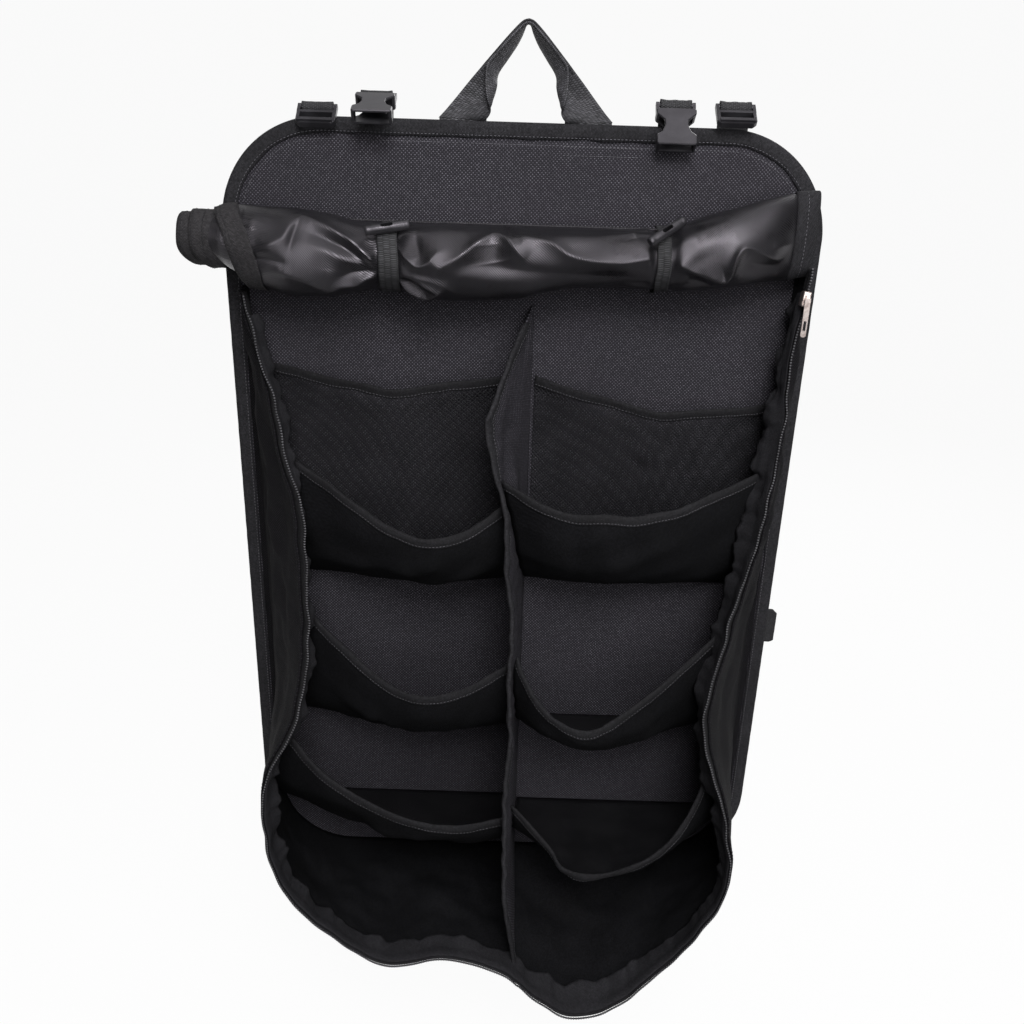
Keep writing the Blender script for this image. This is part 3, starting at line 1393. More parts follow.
@dataclass
class NetPocket:
    """A flat pocket of open net on the panel, with a bound upper edge."""

    side: Side
    drops: tuple[float, float, float]
    bow: float
    bottom: float = 0.5270
    cell: float = 0.0042
    strand: float = 0.22
    thickness: float = 0.0009
    tape: float = 0.007
    size: tuple[float, float] = (0.222, 0.19)

    def surface(self, shares: Points, drop: Points) -> Points:
        """World points of the net's middle surface: a share across from the side wall, and one down."""
        sign = self.side.value
        outer = sign * (SHAPE.half_width - SHAPE.root_inset - SHAPE.wall - 0.0024)
        inner = SHAPE.divider_root + sign * (SHAPE.divider + SHAPE.clear)
        seed = 90 + self.side.value
        top = SHAPE.top - SHAPE.height * np.interp(shares, (0.0, 0.5, 1.0), self.drops)
        held = np.sin(math.pi * shares)
        top = top + 0.0012 * ripple(shares * 0.2, shares * 0, (0.07, 1.0), seed) * held
        low = SHAPE.at_drop(self.bottom)
        slack = 0.0018 * ripple(shares * 0.2, drop * 0.18, (0.07, 0.07), seed + 3)
        slack = slack * held * np.sin(math.pi * drop)
        out = SHAPE.gap + self.thickness / 2 + (0.003 + self.bow * held) * (1 - drop) ** 1.5 + np.abs(slack)
        return out_to_world(outer + (inner - outer) * shares, out, top + (low - top) * drop)

    def net(self) -> bpy.types.Object:
        """The net: strands that cross round diamond holes, which lie like the black squares of a chequer."""
        columns, rows = (2 * int(length / self.cell) for length in self.size)
        shares, drops = np.meshgrid(np.linspace(0, 1, columns + 1), np.linspace(0, 1, rows + 1))
        grid = self.surface(shares, drops)
        if self.side is Side.RIGHT:
            grid = grid[:, ::-1]
        i, j = squares(rows + 1, columns + 1)[0]
        hole = (i + j) % 2 == 0
        i, j = i[hole], j[hole]
        number = np.full((rows + 1, columns + 1), -1)
        number[i, j] = np.arange(len(i))
        middle = grid[i, j]
        points, steps = [], ((-1, 0), (0, 1), (1, 0), (0, -1))
        for down, right in steps:
            corner = grid[np.clip(i + down, 0, rows), np.clip(j + right, 0, columns)]
            points.append(middle + (corner - middle) * (1 - self.strand))
        count = len(i)
        top, right, low, left = (k * count for k in range(4))
        faces = []
        for aside, (a, b), (c, d) in ((1, (low, right), (left, top)), (-1, (left, low), (top, right))):
            ii, jj = i + 1, j + aside
            fits = (ii <= rows) & (jj >= 0) & (jj <= columns)
            here, there = np.arange(count)[fits], number[ii[fits], jj[fits]]
            faces.append(np.stack((here + a, here + b, there + d, there + c), axis=-1))
        ii, jj = (a + 1 for a in squares(rows - 1, columns - 1)[0])
        joint = (ii + jj) % 2 == 1
        ii, jj = ii[joint], jj[joint]
        around = ((-1, 0, low), (0, 1, left), (1, 0, top), (0, -1, right))
        faces.append(np.stack([number[ii + di, jj + dj] + base for di, dj, base in around], axis=-1))
        faces = np.concatenate(faces).tolist()
        layout = np.zeros((4 * len(faces), 2))
        piece = make_piece(f"net_{self.side.word}", np.concatenate(points), faces, layout, NET)
        thick = piece.modifiers.new("strand", "SOLIDIFY")
        thick.thickness = 0.0005
        thick.offset = 0.0
        return piece

    def build(self, stitches: Spindles) -> None:
        """Builds the net and its edge tape.

        Args:
            stitches: Where the tape's stitches are added.
        """
        net = self.net()
        shares, drops = np.meshgrid(np.linspace(0.005, 0.995, 70), np.linspace(0, 0.12, 12))
        grid = self.surface(shares, drops)
        grid = grid if self.side is Side.LEFT else grid[:, ::-1]
        name, seed = f"net_tape_{self.side.word}", 70 + self.side.value
        tape = folded_tape(name, grid, self.thickness, self.tape, seed, stitches, DARK_TAPE)
        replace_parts(net, f"mesh_pocket_{self.side.word}")
        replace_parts(tape, f"mesh_binding_{self.side.word}")
        for piece in (net, tape):
            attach(piece, "bag")
            LOG.info("%s: %d faces", piece.name, len(piece.data.polygons))


@dataclass
class Pockets:
    """The six hammock pockets and the two net pockets."""

    # Side, level, rim (share across from the wall, out, drop), drop of the seam and flat size
    hammocks: tuple = (
        (Side.LEFT, Level.UPPER,
         ((0, 0.030, 0.3459), (0.17, 0.056, 0.3919), (0.36, 0.084, 0.4230), (0.62, 0.100, 0.4392),
          (0.83, 0.088, 0.4297), (1, 0.070, 0.4108)), 0.5432, (0.235, 0.150)),
        (Side.LEFT, Level.MIDDLE,
         ((0, 0.045, 0.5270), (0.15, 0.066, 0.5811), (0.34, 0.090, 0.6189), (0.56, 0.110, 0.6365),
          (0.79, 0.111, 0.6230), (1, 0.100, 0.5973)), 0.7514, (0.235, 0.165)),
        (Side.LEFT, Level.LOWER,
         ((0, 0.080, 0.7081), (0.25, 0.112, 0.7541), (0.56, 0.132, 0.7892), (0.8, 0.132, 0.8014),
          (1, 0.124, 0.7959)), 0.8872, (0.245, 0.165)),
        (Side.RIGHT, Level.UPPER,
         ((0, 0.033, 0.3662), (0.17, 0.060, 0.3865), (0.38, 0.090, 0.4000), (0.65, 0.100, 0.4041),
          (0.84, 0.096, 0.3973), (1, 0.074, 0.3784)), 0.5432, (0.235, 0.165)),
        (Side.RIGHT, Level.MIDDLE,
         ((0, 0.060, 0.5486), (0.2, 0.086, 0.6081), (0.42, 0.112, 0.6500), (0.64, 0.122, 0.6676),
          (0.85, 0.110, 0.6432), (1, 0.090, 0.5946)), 0.7514, (0.235, 0.165)),
        (Side.RIGHT, Level.LOWER,
         ((0, 0.078, 0.7027), (0.14, 0.106, 0.7811), (0.32, 0.128, 0.8365), (0.56, 0.134, 0.8662),
          (0.74, 0.131, 0.8635), (0.82, 0.121, 0.8420), (1, 0.102, 0.8000)), 0.8939, (0.250, 0.150)),
    )
    # Side, drops of the upper edge from the wall to the divider, and how far it bows out
    nets: tuple = (
        (Side.LEFT, (0.2696, 0.2878, 0.2770), 0.030),
        (Side.RIGHT, (0.3034, 0.3054, 0.2797), 0.036),
    )

    def build(self) -> None:
        """Builds every pocket, then the stitches of their rims."""
        stitches = Spindles(length=0.0020, width=0.00045, height=0.00035, pitch=0.0030)
        for row in self.hammocks:
            HammockPocket(*row).build(stitches)
        for row in self.nets:
            NetPocket(*row).build(stitches)
        seam = stitches.build("pocket_stitches", THREAD)
        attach(seam, "bag")


@dataclass
class RolledFlap:
    """The flap, rolled up and tied: creased body, bound ends, seam strip, ties and toggles."""

    columns: int = 480
    turns: int = 200
    mean_radius: float = 0.031
    left: float = -0.247
    right: float = 0.222
    seam_drop: float = 0.1102
    seam_width: float = 0.0066
    hinge_out: float = 0.0042
    ties: tuple[float, float] = (-0.1045, 0.1115)
    tie_widths: tuple[float, float] = (0.016, 0.011)
    tilts: tuple[float, float] = (13.0, 38.0)
    toggle_angle: float = 42.0
    toggle_radius: float = 0.0040
    toggle_length: float = 0.035
    toggle_places: tuple = ((-0.1045, -0.06092, -0.14933), (0.1115, -0.06301, -0.14528))
    toggle_axes: tuple = ((0.0, -0.6898, 0.724), (0.0, -0.7404, 0.6721))
    # Share of the radius, and distance from the toggle's end
    toggle_profile: tuple = (
        (0.0, 0.0008), (0.35, 0.0008), (0.42, 0.0002), (0.6, 0.0), (0.80, 0.0003), (0.92, 0.0012),
        (0.97, 0.0022), (0.93, 0.0034), (0.91, 0.0044), (0.97, 0.0062), (1.0, 0.0115), (1.0, 0.0145),
        (0.97, 0.0155),
    )
    strap: float = 0.0012

    @cached_property
    def line(self) -> Points:
        """The roll's middle line with its half height and half depth."""
        return smooth_line(SHAPE.stations(ROLL), steps=6)

    @cached_property
    def seam_height(self) -> float:
        """The height at which the flap is sewn on."""
        return SHAPE.at_drop(self.seam_drop)

    def band_edge(self, degrees: Points) -> Points:
        """Where the flap's diagonal outer edge lies along X, at degrees up from the roll's front."""
        places = (-0.2165, -0.218, -0.2222, -0.2258, -0.2315, -0.2392, -0.2455)
        return np.interp(degrees, (-110, -77, -36, -6, 24, 53, 110), places)

    def section(self, x: Points) -> list[Points]:
        """The roll's middle (out, z), half height and half depth at places along it."""
        return [np.interp(x, self.line[:, 0], self.line[:, k]) for k in range(1, 5)]

    def creased(self, x: Points, angle: Points) -> Points:
        """How far the pressed folds stand off the roll.

        Args:
            x: Places along the roll.
            angle: Angles up from its front, in radians.

        Returns:
            The heights.
        """
        place = joined(x, angle * self.mean_radius)
        total = np.zeros(x.shape)
        for crease in CREASES:
            points = np.array(crease.line) * (SHAPE.half_width, 1.0)
            line = smooth_line([(across, math.radians(up) * self.mean_radius) for across, up in points], 5)
            reach = 5 * crease.width
            near = np.all((place > line.min(0) - reach) & (place < line.max(0) + reach), axis=-1)
            chosen = place[near]
            best = np.full(len(chosen), 1.0)
            where = np.zeros(len(chosen))
            run = run_of(line)
            for a, b, start in zip(line, line[1:], run):
                step = b - a
                t = np.clip((chosen - a) @ step / (step @ step), 0.0, 1.0)
                far = np.linalg.norm(chosen - a - t[:, None] * step, axis=-1)
                closer = far < best
                best = np.where(closer, far, best)
                where = np.where(closer, start + t * np.linalg.norm(step), where)
            taper = np.sin(math.pi * np.clip(0.04 + 0.92 * where / run[-1], 0.0, 1.0)) ** 0.4
            crest = 0.25 * crease.width
            total[near] += crease.height * taper * np.exp((crest - np.hypot(best, crest)) / crease.width)
        return total

    def surface(self, x: Points, angle: Points) -> Points:
        """World points of the roll's surface.

        Args:
            x: Places along the roll.
            angle: Angles up from its front, in radians, of the same shape.

        Returns:
            The points.
        """
        out, z, high, deep = self.section(x)
        tie = sum(np.exp(-(((x - place) / 0.0105) ** 6)) for place in self.ties)
        ends = np.clip(np.minimum((x - self.left) / 0.02, (self.right - x) / 0.02), 0.0, 1.0)
        loose = (1.0 - np.clip(tie, 0.0, 1.0)) * ends
        around = angle * self.mean_radius
        gather = sum(np.exp(-(((x - place) / 0.045) ** 2)) for place in self.ties)
        soft = 0.0008 * ripple(x, around, (0.12, 0.06), 101) + 0.00035 * ripple(x, around, (0.05, 0.03), 102)
        pleats = 0.0004 * gather * np.sin(angle * 10.0 + 3.0 * ripple(x, around, (0.09, 0.09), 103))
        front = np.clip(np.cos(angle) + 0.75, 0.0, 1.0)
        base = high * deep / np.sqrt((high * np.cos(angle)) ** 2 + (deep * np.sin(angle)) ** 2)
        fold = (soft + pleats + self.creased(x, angle)) * loose * front
        under = np.interp(np.degrees(angle), (-110, -60, -20, 60), (0.0085, 0.007, 0.0025, 0.0022))
        under = under * (1.0 - eased(-0.0008, 0.0008, x - self.band_edge(np.degrees(angle))))
        taper = 0.0035 * (1.0 - eased(self.left, -0.232, x))
        to_seam = np.arctan2(self.seam_height - z, self.hinge_out - out)
        reach = np.hypot(self.seam_height - z, self.hinge_out - out)
        plain = high * deep / np.hypot(high * np.cos(to_seam), deep * np.sin(to_seam))
        turn = np.abs((angle - to_seam + math.pi) % math.tau - math.pi)
        lip = np.clip(reach + 0.0012 - plain, 0.0, 0.02) * np.exp(-((turn / 0.26) ** 2))
        radius = base + fold - under - taper + lip - 0.0004 * tie
        return out_to_world(x, out + radius * np.cos(angle), z + radius * np.sin(angle))

    def body(self) -> bpy.types.Object:
        """The rolled cloth."""
        count = self.turns
        turns = np.interp(np.arange(count), (0, 0.12 * count, 0.88 * count, count), (-180, -100, 112, 180))
        x, angle = np.meshgrid(np.linspace(*self.line[[0, -1], 0], self.columns), np.radians(turns))
        piece = solid_piece("rolled_cloth", self.surface(x, angle), COATED)
        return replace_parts(piece, "flap_roll")

    def outer_band(self, stitches: Spindles) -> bpy.types.Object:
        """The tape on the flap's diagonal outer edge."""
        degrees = np.linspace(-118, 96, 90)
        edge = self.band_edge(degrees)
        wide = np.interp(degrees, (-118, -57, -31, 5, 65, 96), (0.0125, 0.016, 0.020, 0.0214, 0.0195, 0.018))
        rows = []
        for t in np.linspace(0.0, 1.0, 9):
            x = edge - 0.0005 + wide * t
            _, y, high = self.surface(np.maximum(x, edge + 0.0009), np.radians(degrees)).T
            out, z = self.section(x)[:2]
            away = unit(joined(0.0, y + out, high - z))
            lift = 0.0009 + 0.0003 * ripple(degrees / 2000, x, (0.02, 0.05), 111)
            rows.append(joined(x, y, high) + away * lift[:, None])
        grid = np.array(rows)
        normals = grid_normals(grid)
        sides = np.sum(normals * (grid - grid.mean((0, 1))), axis=-1, keepdims=True)
        outwards = normals * np.sign(sides)
        for row in (1, 2):
            stitches.add(grid[row] + outwards[row] * 0.0005, outwards[row])
        return cloth_piece("roll_outer_band", grid, 0.0009, ROLL_TAPE)

    def left_end(self, stitches: Spindles) -> bpy.types.Object:
        """The bound inner turns that stick out of the roll's left end."""
        turns = 7
        turn = np.linspace(0.0, turns * math.tau, 64 * turns)
        inside = turns - turn / math.tau
        angle = turn + math.pi
        radius = 0.0214 - 0.0015 * inside - 0.0004 * (inside > 1.0)
        below = np.clip(-np.sin(angle), 0.0, 1.0) ** 2
        x_left = -0.2702 + 0.0105 * eased(0.0, 0.05, 1.02 - inside)
        x_left = x_left + 0.011 * below + 0.0012 * np.sin(angle * 0.5)
        out, z = self.line[0][1], self.line[0][2] - 0.0016
        rows = []
        for t in np.linspace(0.0, 1.0, 12):
            fat = 1.0 + 0.012 * math.sin(math.pi * min(1.0, 2.2 * t))
            r = radius * fat + 0.0003 * ripple(turn * 0.02, turn * 0 + t * 0.03, (0.03, 0.02), 121)
            x = x_left + (-0.236 - x_left) * t
            rows.append(out_to_world(x, out + r * np.cos(angle), z + 1.05 * r * np.sin(angle)))
        grid = np.array(rows)
        axis = np.array((0.0, -out, z))
        for row, (first, last) in ((1, (0.0, 0.9)), (5, (0.0, 0.9)), (1, (1.1, 1.9))):
            line = grid[row][(inside > first) & (inside < last)]
            away = unit((line - axis) * (0, 1, 1))
            stitches.add(line + away * 0.0011, away)
        piece = cloth_piece("roll_inner_turns", grid, 0.0018, ROLL_TAPE)
        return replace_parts(piece, "flap_end_binding_left")

    def right_end(self, stitches: Spindles) -> bpy.types.Object:
        """The tape round the flap's flattened right end."""
        angle = np.linspace(-math.pi, math.pi, 73)[:-1]
        _, out, z, high, deep = self.line[-1]
        rows = []
        stations = (
            (0.2170, 1.01, 1.12), (0.2172, 1.04, 1.26), (0.2200, 1.045, 1.3), (0.2260, 1.03, 1.08),
            (0.2310, 1.02, 0.86), (0.2345, 1.0, 0.62), (0.2352, 0.97, 0.36),
        )
        for x, tall, thick in stations:
            lean = (x - 0.217) * 0.18
            square = np.sign(np.sin(angle)) * np.abs(np.sin(angle)) ** 0.8
            uneven = 1 + 0.012 * ripple(angle * 0.03, angle * 0 + x, (0.03, 0.03), 131)
            across = x + 0.002 * np.cos(angle * 0.5) * (x > 0.23)
            forward = out + deep * thick * np.cos(angle) * uneven
            rows.append(out_to_world(across, forward, z + high * tall * square * uneven + lean))
        grid = np.array(rows).transpose(1, 0, 2)
        front = np.abs(angle) < 1.45
        line = grid[front, 3]
        stitches.add(line + (0.0, -0.0003, 0.0), (0.1, -1.0, 0.0))
        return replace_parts(solid_piece("roll_end_binding", grid, TAPE), "flap_end_binding_right")

    def seam_strip(self, stitches: Spindles) -> bpy.types.Object:
        """The strip of the flap that is sewn to the panel."""
        x = np.linspace(-0.225, 0.225, 160)
        rows = []
        for t in np.linspace(0.0, 1.0, 7):
            puff = 0.0004 * math.sin(math.pi * t)
            uneven = 0.0003 * ripple(x, x * 0 + t * 0.01, (0.05, 0.02), 141)
            out = SHAPE.gap + 0.0009 + puff + np.abs(uneven)
            rows.append(out_to_world(x, out, self.seam_height + self.seam_width * (0.5 - t)))
        grid = np.array(rows)
        stitches.add(grid[2] + (0.0, -0.0006, 0.0), (0.0, -1.0, 0.0))
        piece = cloth_piece("flap_seam_strip", grid, 0.001, COATED_INSIDE)
        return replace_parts(piece, "flap_seam")

    def tie(self, index: int) -> bpy.types.Object:
        """An elastic strap round the roll."""
        x, wide = self.ties[index], self.tie_widths[index]
        angle = np.radians(np.linspace(108.0, -188.0, 150))
        out, z = self.section(x)[:2]
        radius = []
        for place in np.linspace(x - wide / 2, x + wide / 2, 7):
            points = self.surface(np.full(angle.shape, place), angle)
            radius.append(np.hypot(-points[:, 1] - out, points[:, 2] - z))
        radius = np.max(radius, axis=0)
        kernel = np.ones(9) / 9
        radius = np.convolve(np.pad(radius, 4, mode="edge"), kernel, mode="valid") + 0.0010
        run = angle * 0.03
        shift = 0.0009 * ripple(run, angle * 0, (0.05, 1.0), 161 + index)
        rise = (0.0036, 0.0030)[index] * np.exp(-(((np.degrees(angle) - self.toggle_angle) / 15) ** 2))
        rows = []
        for offset in np.linspace(-wide / 2, wide / 2, 11):
            edge = abs(offset) / (wide / 2)
            lift = 0.0002 * ripple(run, angle * 0 + offset, (0.02, 0.012), 151 + index) - 0.0002 * edge**4
            twist = 0.0016 * index * np.sin((angle + 0.9) * 2.0) * offset / (wide / 2) * (angle < 0.2)
            r = radius + lift + rise + np.maximum(twist, -0.0004)
            rows.append(out_to_world(x + offset + shift, out + r * np.cos(angle), z + r * np.sin(angle)))
        side = ("left", "right")[index]
        piece = cloth_piece(f"elastic_tie_{side}", np.array(rows), self.strap, ELASTIC)
        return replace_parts(piece, f"tie_strap_{side}")

    def toggle(self, index: int) -> bpy.types.Object:
        """A turned barrel toggle with a slot through its middle."""
        side = ("left", "right")[index]
        ahead, square = (1.0, 0.0, 0.0), self.toggle_axes[index]
        axes = Matrix((ahead, square, np.cross(ahead, square).tolist())).transposed().to_4x4()
        tilt = Matrix.Rotation(math.radians(self.tilts[index]), 4, "Y")
        half = self.toggle_length / 2
        outline = [(max(share, 0.004), half - far) for share, far in self.toggle_profile]
        outline += [(share, -z) for share, z in reversed(outline)]
        share, along = (np.array(column) for column in zip(*outline))
        radius = share * self.toggle_radius
        turn = np.linspace(0, math.tau, 41)[:-1]
        grid = np.stack([joined(along, radius * math.cos(a), radius * math.sin(a)) for a in turn])
        body = solid_piece(f"barrel_toggle_{side}", grid, PLASTIC)
        slot = np.radians(np.linspace(0, 360, 25)[:-1])
        half_slot, straight = 0.0016, 0.0032
        x = np.cos(slot) * half_slot + np.sign(np.cos(slot)) * straight
        cutter = np.stack([joined(x, y, np.sin(slot) * half_slot) for y in (-0.01, 0.01)], axis=1)
        tool = solid_piece(f"slot_tool_{side}", cutter, PLASTIC)
        body = carved(body, tool)
        body.data.transform(Matrix.Translation(self.toggle_places[index]) @ axes @ tilt)
        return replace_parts(body, f"toggle_{side}")

    def build(self) -> None:
        """Builds the roll and what is on it."""
        stitches, dark = Spindles(pitch=0.0031), Spindles(pitch=0.0030, width=0.0006)
        body = self.body()
        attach(body, "flap_roll")
        pieces = [self.outer_band(dark), self.left_end(dark), self.right_end(stitches)]
        pieces += [self.tie(0), self.tie(1)]
        pieces += [dark.build("roll_dark_stitches", DARK_THREAD), stitches.build("roll_stitches", THREAD)]
        for piece in pieces:
            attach(piece, "flap_roll")
        seam = Spindles(pitch=0.0031)
        for piece in (self.seam_strip(seam), seam.build("flap_seam_stitches", DARK_THREAD)):
            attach(piece, "bag")
        for index, side in enumerate(("left", "right")):
            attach(self.toggle(index), f"toggle_{side}")
        LOG.info("%s: %d faces", body.name, len(body.data.polygons))


def carved(body: bpy.types.Object, tool: bpy.types.Object) -> bpy.types.Object:
    """A body with a shape cut out of it. The cutting shape is removed.

    Args:
        body: The body that is cut.
        tool: The shape that is cut out.

    Returns:
        The body.
    """
    cut = body.modifiers.new("cut", "BOOLEAN")
    cut.operation = "DIFFERENCE"
    cut.object = tool
    graph = bpy.context.evaluated_depsgraph_get()
    mesh = bpy.data.meshes.new_from_object(body.evaluated_get(graph))
    body.modifiers.clear()
    body.data = mesh
    mesh.set_sharp_from_angle(angle=math.radians(40))
    bpy.data.objects.remove(tool, do_unlink=True)
    return body


@dataclass
class CarryHandle:
    """The webbing handle: flat at its feet, folded in half above them and turned on edge over the hook."""

    foot_x: float = 0.0505
    webbing: float = 0.038
    thickness: float = 0.0014
    steps: int = 11
    # The right half's outer edge from its foot: x and height over the panel's edge
    edge: tuple = (
        (0.0700, 0.0016), (0.0620, 0.0102), (0.0535, 0.0200), (0.0452, 0.0295),
        (0.0380, 0.0375), (0.0318, 0.0440), (0.0235, 0.0530), (0.0150, 0.0622),
        (0.0085, 0.0688), (0.0038, 0.0728), (0.0, 0.0740),
    )
    # Slant and then the section in millimetres from that edge, inwards and forwards, out to the fold and back
    ribs: tuple = (
        (0.885, (0, 0), (5, 0), (10, 0), (14.5, 0), (19, 0), (23.5, 0), (27.5, 0)),
        (0.72, (0, 0.4), (5.5, 0.2), (11, 0.8), (16.5, 2.2), (21, 4.2), (24.8, 6.0), (27.5, 7.0)),
        (0.48, (0, 1.6), (6, 0.9), (12, 1.0), (18.2, 2.8), (22.6, 6.2), (24.2, 10.2), (22.0, 13.2)),
        (0.24, (0, 3.6), (6.2, 2.2), (12.6, 1.6), (18.8, 3.2), (21.4, 7.2), (19.2, 11.4), (14.4, 13.6)),
        (0.08, (0, 6.2), (5.9, 4.2), (11.8, 2.0), (17.0, 2.2), (17.2, 6.2), (12.6, 9.6), (7.0, 11.6)),
        (0.0, (0, 8.8), (4.2, 4.6), (8.4, 0.2), (12.0, -3.2), (10.4, 1.6), (5.8, 6.8), (1.4, 11.2)),
        (0.0, (0, 10.4), (3.6, 5.4), (7.2, 0.2), (10.2, -4.4), (8.8, 1.0), (5.0, 6.6), (1.2, 12.2)),
        (0.0, (0, 11.2), (3.0, 5.8), (6.0, 0.2), (8.4, -5.0), (7.6, 1.0), (4.6, 6.8), (1.5, 12.6)),
        (0.0, (0, 11.5), (2.0, 5.8), (4.0, 0.0), (5.6, -5.6), (5.4, 0.8), (3.6, 6.8), (1.7, 12.8)),
        (0.0, (0, 11.6), (0.8, 5.6), (1.6, -0.2), (2.2, -5.9), (3.0, 0.6), (2.4, 6.6), (1.8, 12.8)),
        (0.0, (0, 11.6), (0.1, 5.6), (0.2, -0.2), (0.3, -5.9), (2.1, 0.6), (2.0, 6.6), (1.8, 12.8)),
    )

    def half(self) -> Points:
        """The right half's sections from the foot to the apex, across the webbing."""
        edge = smooth_line(self.edge, self.steps)
        ahead = unit(np.gradient(edge, axis=0))
        ahead[-1] = (-1.0, 0.0)
        inward = joined(-ahead[:, 1], ahead[:, 0])
        slant = smooth_line([(rib[0],) for rib in self.ribs], self.steps)
        table = np.array([rib[1:] for rib in self.ribs]) / 1000
        sections = smooth_line(table.reshape(len(self.ribs), -1), self.steps).reshape(-1, 7, 2)
        sections = np.array([smooth_line(section, 6) for section in sections])
        across, forward = sections[..., 0], sections[..., 1]
        flat = edge[:, None] + inward[:, None] * across[..., None]
        flat = flat + ahead[:, None] * (across * slant)[..., None]
        uneven = 0.0004 * ripple(run_of(edge)[:, None], across, (0.03, 0.02), 171)
        return joined(flat[..., 0], SHAPE.webbing_rear - forward + uneven, SHAPE.top + flat[..., 1])

    def build(self) -> None:
        """Builds the handle, its edge stitches and its two anchors."""
        grid = self.half()
        grid[-1, :, 0] = 0.0
        mirror = grid[:-1][::-1] * (-1, 1, 1)
        whole = np.concatenate((grid, mirror)).transpose(1, 0, 2)
        handle = cloth_piece("webbing_handle", whole, self.thickness, STRAP)
        normals = grid_normals(whole)
        stitches = Spindles(length=0.0024, width=0.0006, height=0.0005, pitch=0.0032)
        middle = slice(4 * self.steps, -4 * self.steps)
        for row in (2, -3):
            for sign in (1.0, -1.0):
                out = normals[row][middle] * sign
                stitches.add(whole[row][middle] + out * (self.thickness / 2 + 0.0001), out)
        seam = stitches.build("handle_stitches", DARK_THREAD)
        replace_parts(handle, "carry_handle")
        for piece in (handle, seam):
            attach(piece, "carry_handle")
        for side in Side:
            x = np.linspace(-self.webbing / 2, self.webbing / 2, 14) + side.value * self.foot_x
            z = np.linspace(SHAPE.top + 0.0024, SHAPE.top - SHAPE.webbing_sewn, 10)
            wavy = 0.0002 * np.abs(ripple(x[None, :], z[:, None], (0.02, 0.02), 181))
            tab = joined(x[None, :], 0.0074 + wavy, z[:, None]).transpose(1, 0, 2)
            piece = cloth_piece(f"handle_tab_{side.word}", tab, self.thickness, STRAP)
            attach(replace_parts(piece, f"handle_anchor_{side.word}"), "bag")
        LOG.info("%s: %d faces", handle.name, len(handle.data.polygons))


@dataclass
class StrapFittings:
    """The webbing loops on the upper edge with their buckles and ladder locks, and the right side's tab."""

    webbing: float = 0.025
    thickness: float = 0.0014
    bars: tuple = (
        ("buckle", Side.LEFT, (-0.119, 0.0039, -0.056)),
        ("buckle", Side.RIGHT, (0.119, 0.0039, -0.056)),
        ("ladder", Side.LEFT, (-0.1665, 0.0039, -0.0655)),
        ("ladder", Side.RIGHT, (0.1665, 0.0039, -0.056)),
    )
    tab: tuple[float, float] = (0.0225, 0.0355)

    def loop(self, kind: str, side: Side, centre: tuple[float, float, float]) -> bpy.types.Object:
        """A webbing loop: up behind the panel's edge, over a fitting's bar and back under it."""
        rear, low = SHAPE.webbing_rear, SHAPE.top - SHAPE.webbing_sewn
        x, y, z = centre
        radius = rear - y
        angles = np.radians(np.linspace(0.0, 240.0, 30))
        run = [(rear, low), (rear, (low + z) / 2 - 0.002)]
        run += [(y + radius * math.cos(a), z + radius * math.sin(a)) for a in angles]
        path = at_share(np.array(run), np.linspace(0.0, 1.0, 60))
        off = joined(path[:, 0] - y, path[:, 1] - np.maximum(z, path[:, 1]))
        away = unit(np.where(path[:, 1:2] > z, path - np.array((y, z)), off))
        # A small fixed number for the kind and the side
        seed = 190 + len(kind) * 3 + side.value
        rows = []
        for offset in np.linspace(-self.webbing / 2, self.webbing / 2, 18):
            edge = (abs(offset) / (self.webbing / 2)) ** 6
            swell = np.abs(ripple(run_of(path), 0 * path[:, 0] + offset, (0.02, 0.015), seed))
            here = path + away * (0.00025 * swell + 0.0002 * edge)[:, None]
            rows.append(joined(x + offset, *here.T))
        piece = cloth_piece(f"{kind}_webbing_{side.word}", np.array(rows), self.thickness, LOOP)
        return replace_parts(piece, f"{kind}_loop_{side.word}")

    def side_tab(self) -> bpy.types.Object:
        """The end of webbing behind the lower right edge."""
        high, low = SHAPE.at_drop(0.5865), SHAPE.at_drop(0.6345)
        t = np.linspace(0.0, 1.0, 16)
        rows = []
        for share in np.linspace(0.0, 1.0, 12):
            x = SHAPE.half_width - 0.0125 + self.tab[0] * share
            top = high - 0.004 * eased(0.8, 1.0, share)
            bottom = low + 0.002 * eased(0.85, 1.0, share)
            z = top + (bottom - top) * t
            bend = 0.0005 * ripple(0 * t + x, z, (0.02, 0.02), 201)
            rows.append(joined(x, SHAPE.webbing_rear + np.abs(bend), z))
        piece = cloth_piece("side_webbing_tab", np.array(rows).transpose(1, 0, 2), self.thickness, LOOP)
        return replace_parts(piece, "side_tab_right")

    def dress(self) -> None:
        """Gives the rigid fittings, which keep their CAD shapes, their finishes."""
        for kind in ("buckle", "ladder_lock"):
            for side in Side:
                dress_node(f"{kind}_{side.word}", PLASTIC)
        for name in ("zipper_slider", "zipper_puller"):
            dress_node(name, METAL)

    def build(self) -> None:
        """Builds the loops and the tab, and dresses the fittings."""
        for kind, side, centre in self.bars:
            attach(self.loop(kind, side, centre), "bag")
        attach(self.side_tab(), "bag")
        self.dress()
        LOG.info("strap fittings: %d loops", len(self.bars))


def dress_node(name: str, finish: Finish) -> None:
    """Gives a CAD node that keeps its shape a finish.

    Args:
        name: The node's name.
        finish: Its finish.
    """
    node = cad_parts[name]
    material = finish.material()
    if not node.material_slots:
        node.data.materials.append(material)
    for slot in node.material_slots:
        slot.material = material
    LOG.info("%s: dressed in %s", name, finish.name)


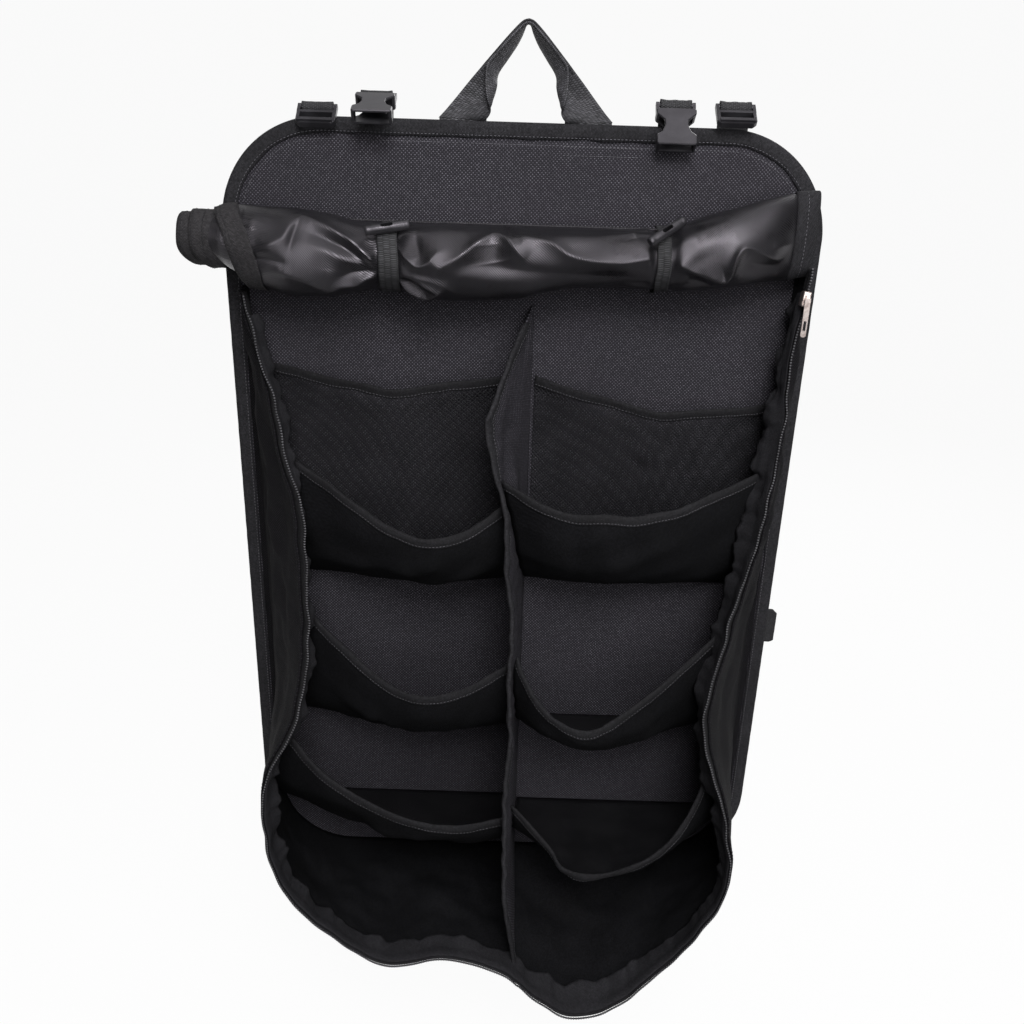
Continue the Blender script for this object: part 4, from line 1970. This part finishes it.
@dataclass
class Studio:
    """The photograph's camera, soft lamps, a pale floor and a white backdrop."""

    place: tuple[float, float, float] = (-0.0009, -0.8572, -0.0525)
    pitch: float = 67.41
    roll: float = 1.84
    lens: float = 35.156
    floor: float = -0.98
    ambient: float = 0.10
    plain: float = 0.94

    def camera(self) -> None:
        """The camera at the photograph's viewing angle."""
        lens = bpy.data.cameras.new("camera")
        lens.lens = self.lens
        lens.sensor_width = 36.0
        camera = bpy.data.objects.new("camera", lens)
        turn = Matrix.Rotation(math.radians(self.pitch), 4, "X")
        turn = turn @ Matrix.Rotation(math.radians(self.roll), 4, "Z")
        camera.matrix_world = Matrix.Translation(self.place) @ turn
        bpy.context.scene.collection.objects.link(camera)
        bpy.context.scene.camera = camera

    def lamp(self, name: str, place: tuple, size: float, power: float) -> None:
        """A soft square lamp that looks at the bag."""
        light = bpy.data.lights.new(name, "AREA")
        light.size = size
        light.energy = power
        lamp = bpy.data.objects.new(name, light)
        lamp.visible_camera = False
        aim = Vector((0.0, -0.05, -0.38)) - Vector(place)
        lamp.matrix_world = Matrix.Translation(place) @ aim.to_track_quat("-Z", "Y").to_matrix().to_4x4()
        bpy.context.scene.collection.objects.link(lamp)

    def screen(self, name: str, plain: float) -> None:
        """A pale floor that curves up to a backdrop. It is seen as white, and it keeps the bag's shadow.

        Args:
            name: Its name.
            plain: How much of it is seen as white whatever falls on it.
        """
        turns, bend = np.radians(range(0, 91, 5)), 1.5
        curve = [(2.5 + bend * math.sin(a), self.floor + bend - bend * math.cos(a)) for a in turns]
        profile = [(-0.3, self.floor), *curve, (4.0, 6.0)]
        points = [(x, y, z) for y, z in profile for x in (-7.0, 7.0)]
        mesh = bpy.data.meshes.new(name)
        mesh.from_pydata(points, [], [(k, k + 1, k + 3, k + 2) for k in range(0, len(points) - 2, 2)])
        mesh.shade_smooth()
        sheet = bpy.data.objects.new(name, mesh)
        bpy.context.scene.collection.objects.link(sheet)
        sketch = Sketch(name)
        sketch.shader.inputs["Base Color"].default_value = (0.86, 0.86, 0.86, 1.0)
        sketch.shader.inputs["Roughness"].default_value = 0.9
        kinds = ("Is Camera Ray", "Is Glossy Ray", "Is Transmission Ray")
        rays = [sketch.node("LightPath", {}, {}, kind) for kind in kinds]
        seen = rays[0].maths("MAXIMUM", rays[1]).maths("MAXIMUM", rays[2])
        glow = sketch.node("Emission", {}, {"Color": (1.0, 1.0, 1.0, 1.0), "Strength": 1.0})
        surface = Wire(sketch, sketch.shader.outputs[0])
        mixed = sketch.node("MixShader", {}, {0: seen * plain, 1: surface, 2: glow})
        output = sketch.tree.nodes["Material Output"]
        sketch.tree.links.new(mixed.socket, output.inputs["Surface"])
        mesh.materials.append(sketch.material)

    def build(self) -> None:
        """Sets up the camera, the lamps, the floor and the backdrop."""
        self.camera()
        self.lamp("front_lamp", (0.45, -1.42, 0.22), 1.3, 17.0)
        self.lamp("upper_lamp", (0.12, -1.4, 0.85), 0.6, 20.0)
        self.lamp("ceiling_lamp", (0.1, -0.5, 1.35), 1.6, 12.0)
        self.lamp("rear_lamp", (0.6, 1.6, 0.5), 1.2, 14.0)
        self.screen("sweep", self.plain)
        world = bpy.data.worlds.new("studio")
        world.use_nodes = True
        shade = world.node_tree.nodes["Background"]
        shade.inputs["Color"].default_value = (1.0, 1.0, 1.0, 1.0)
        shade.inputs["Strength"].default_value = self.ambient
        bpy.context.scene.world = world
        bpy.context.scene.view_settings.view_transform = "Standard"


def main() -> None:
    """Builds the whole bag and its studio."""
    logging.basicConfig(level=logging.INFO, format="%(name)s: %(message)s")
    for assembly in (PaddedPanel, Compartment, Divider, Pockets, RolledFlap, CarryHandle, StrapFittings):
        LOG.info("building %s", assembly.__name__)
        assembly().build()
    Studio().build()


if __name__ == "__main__":
    main()
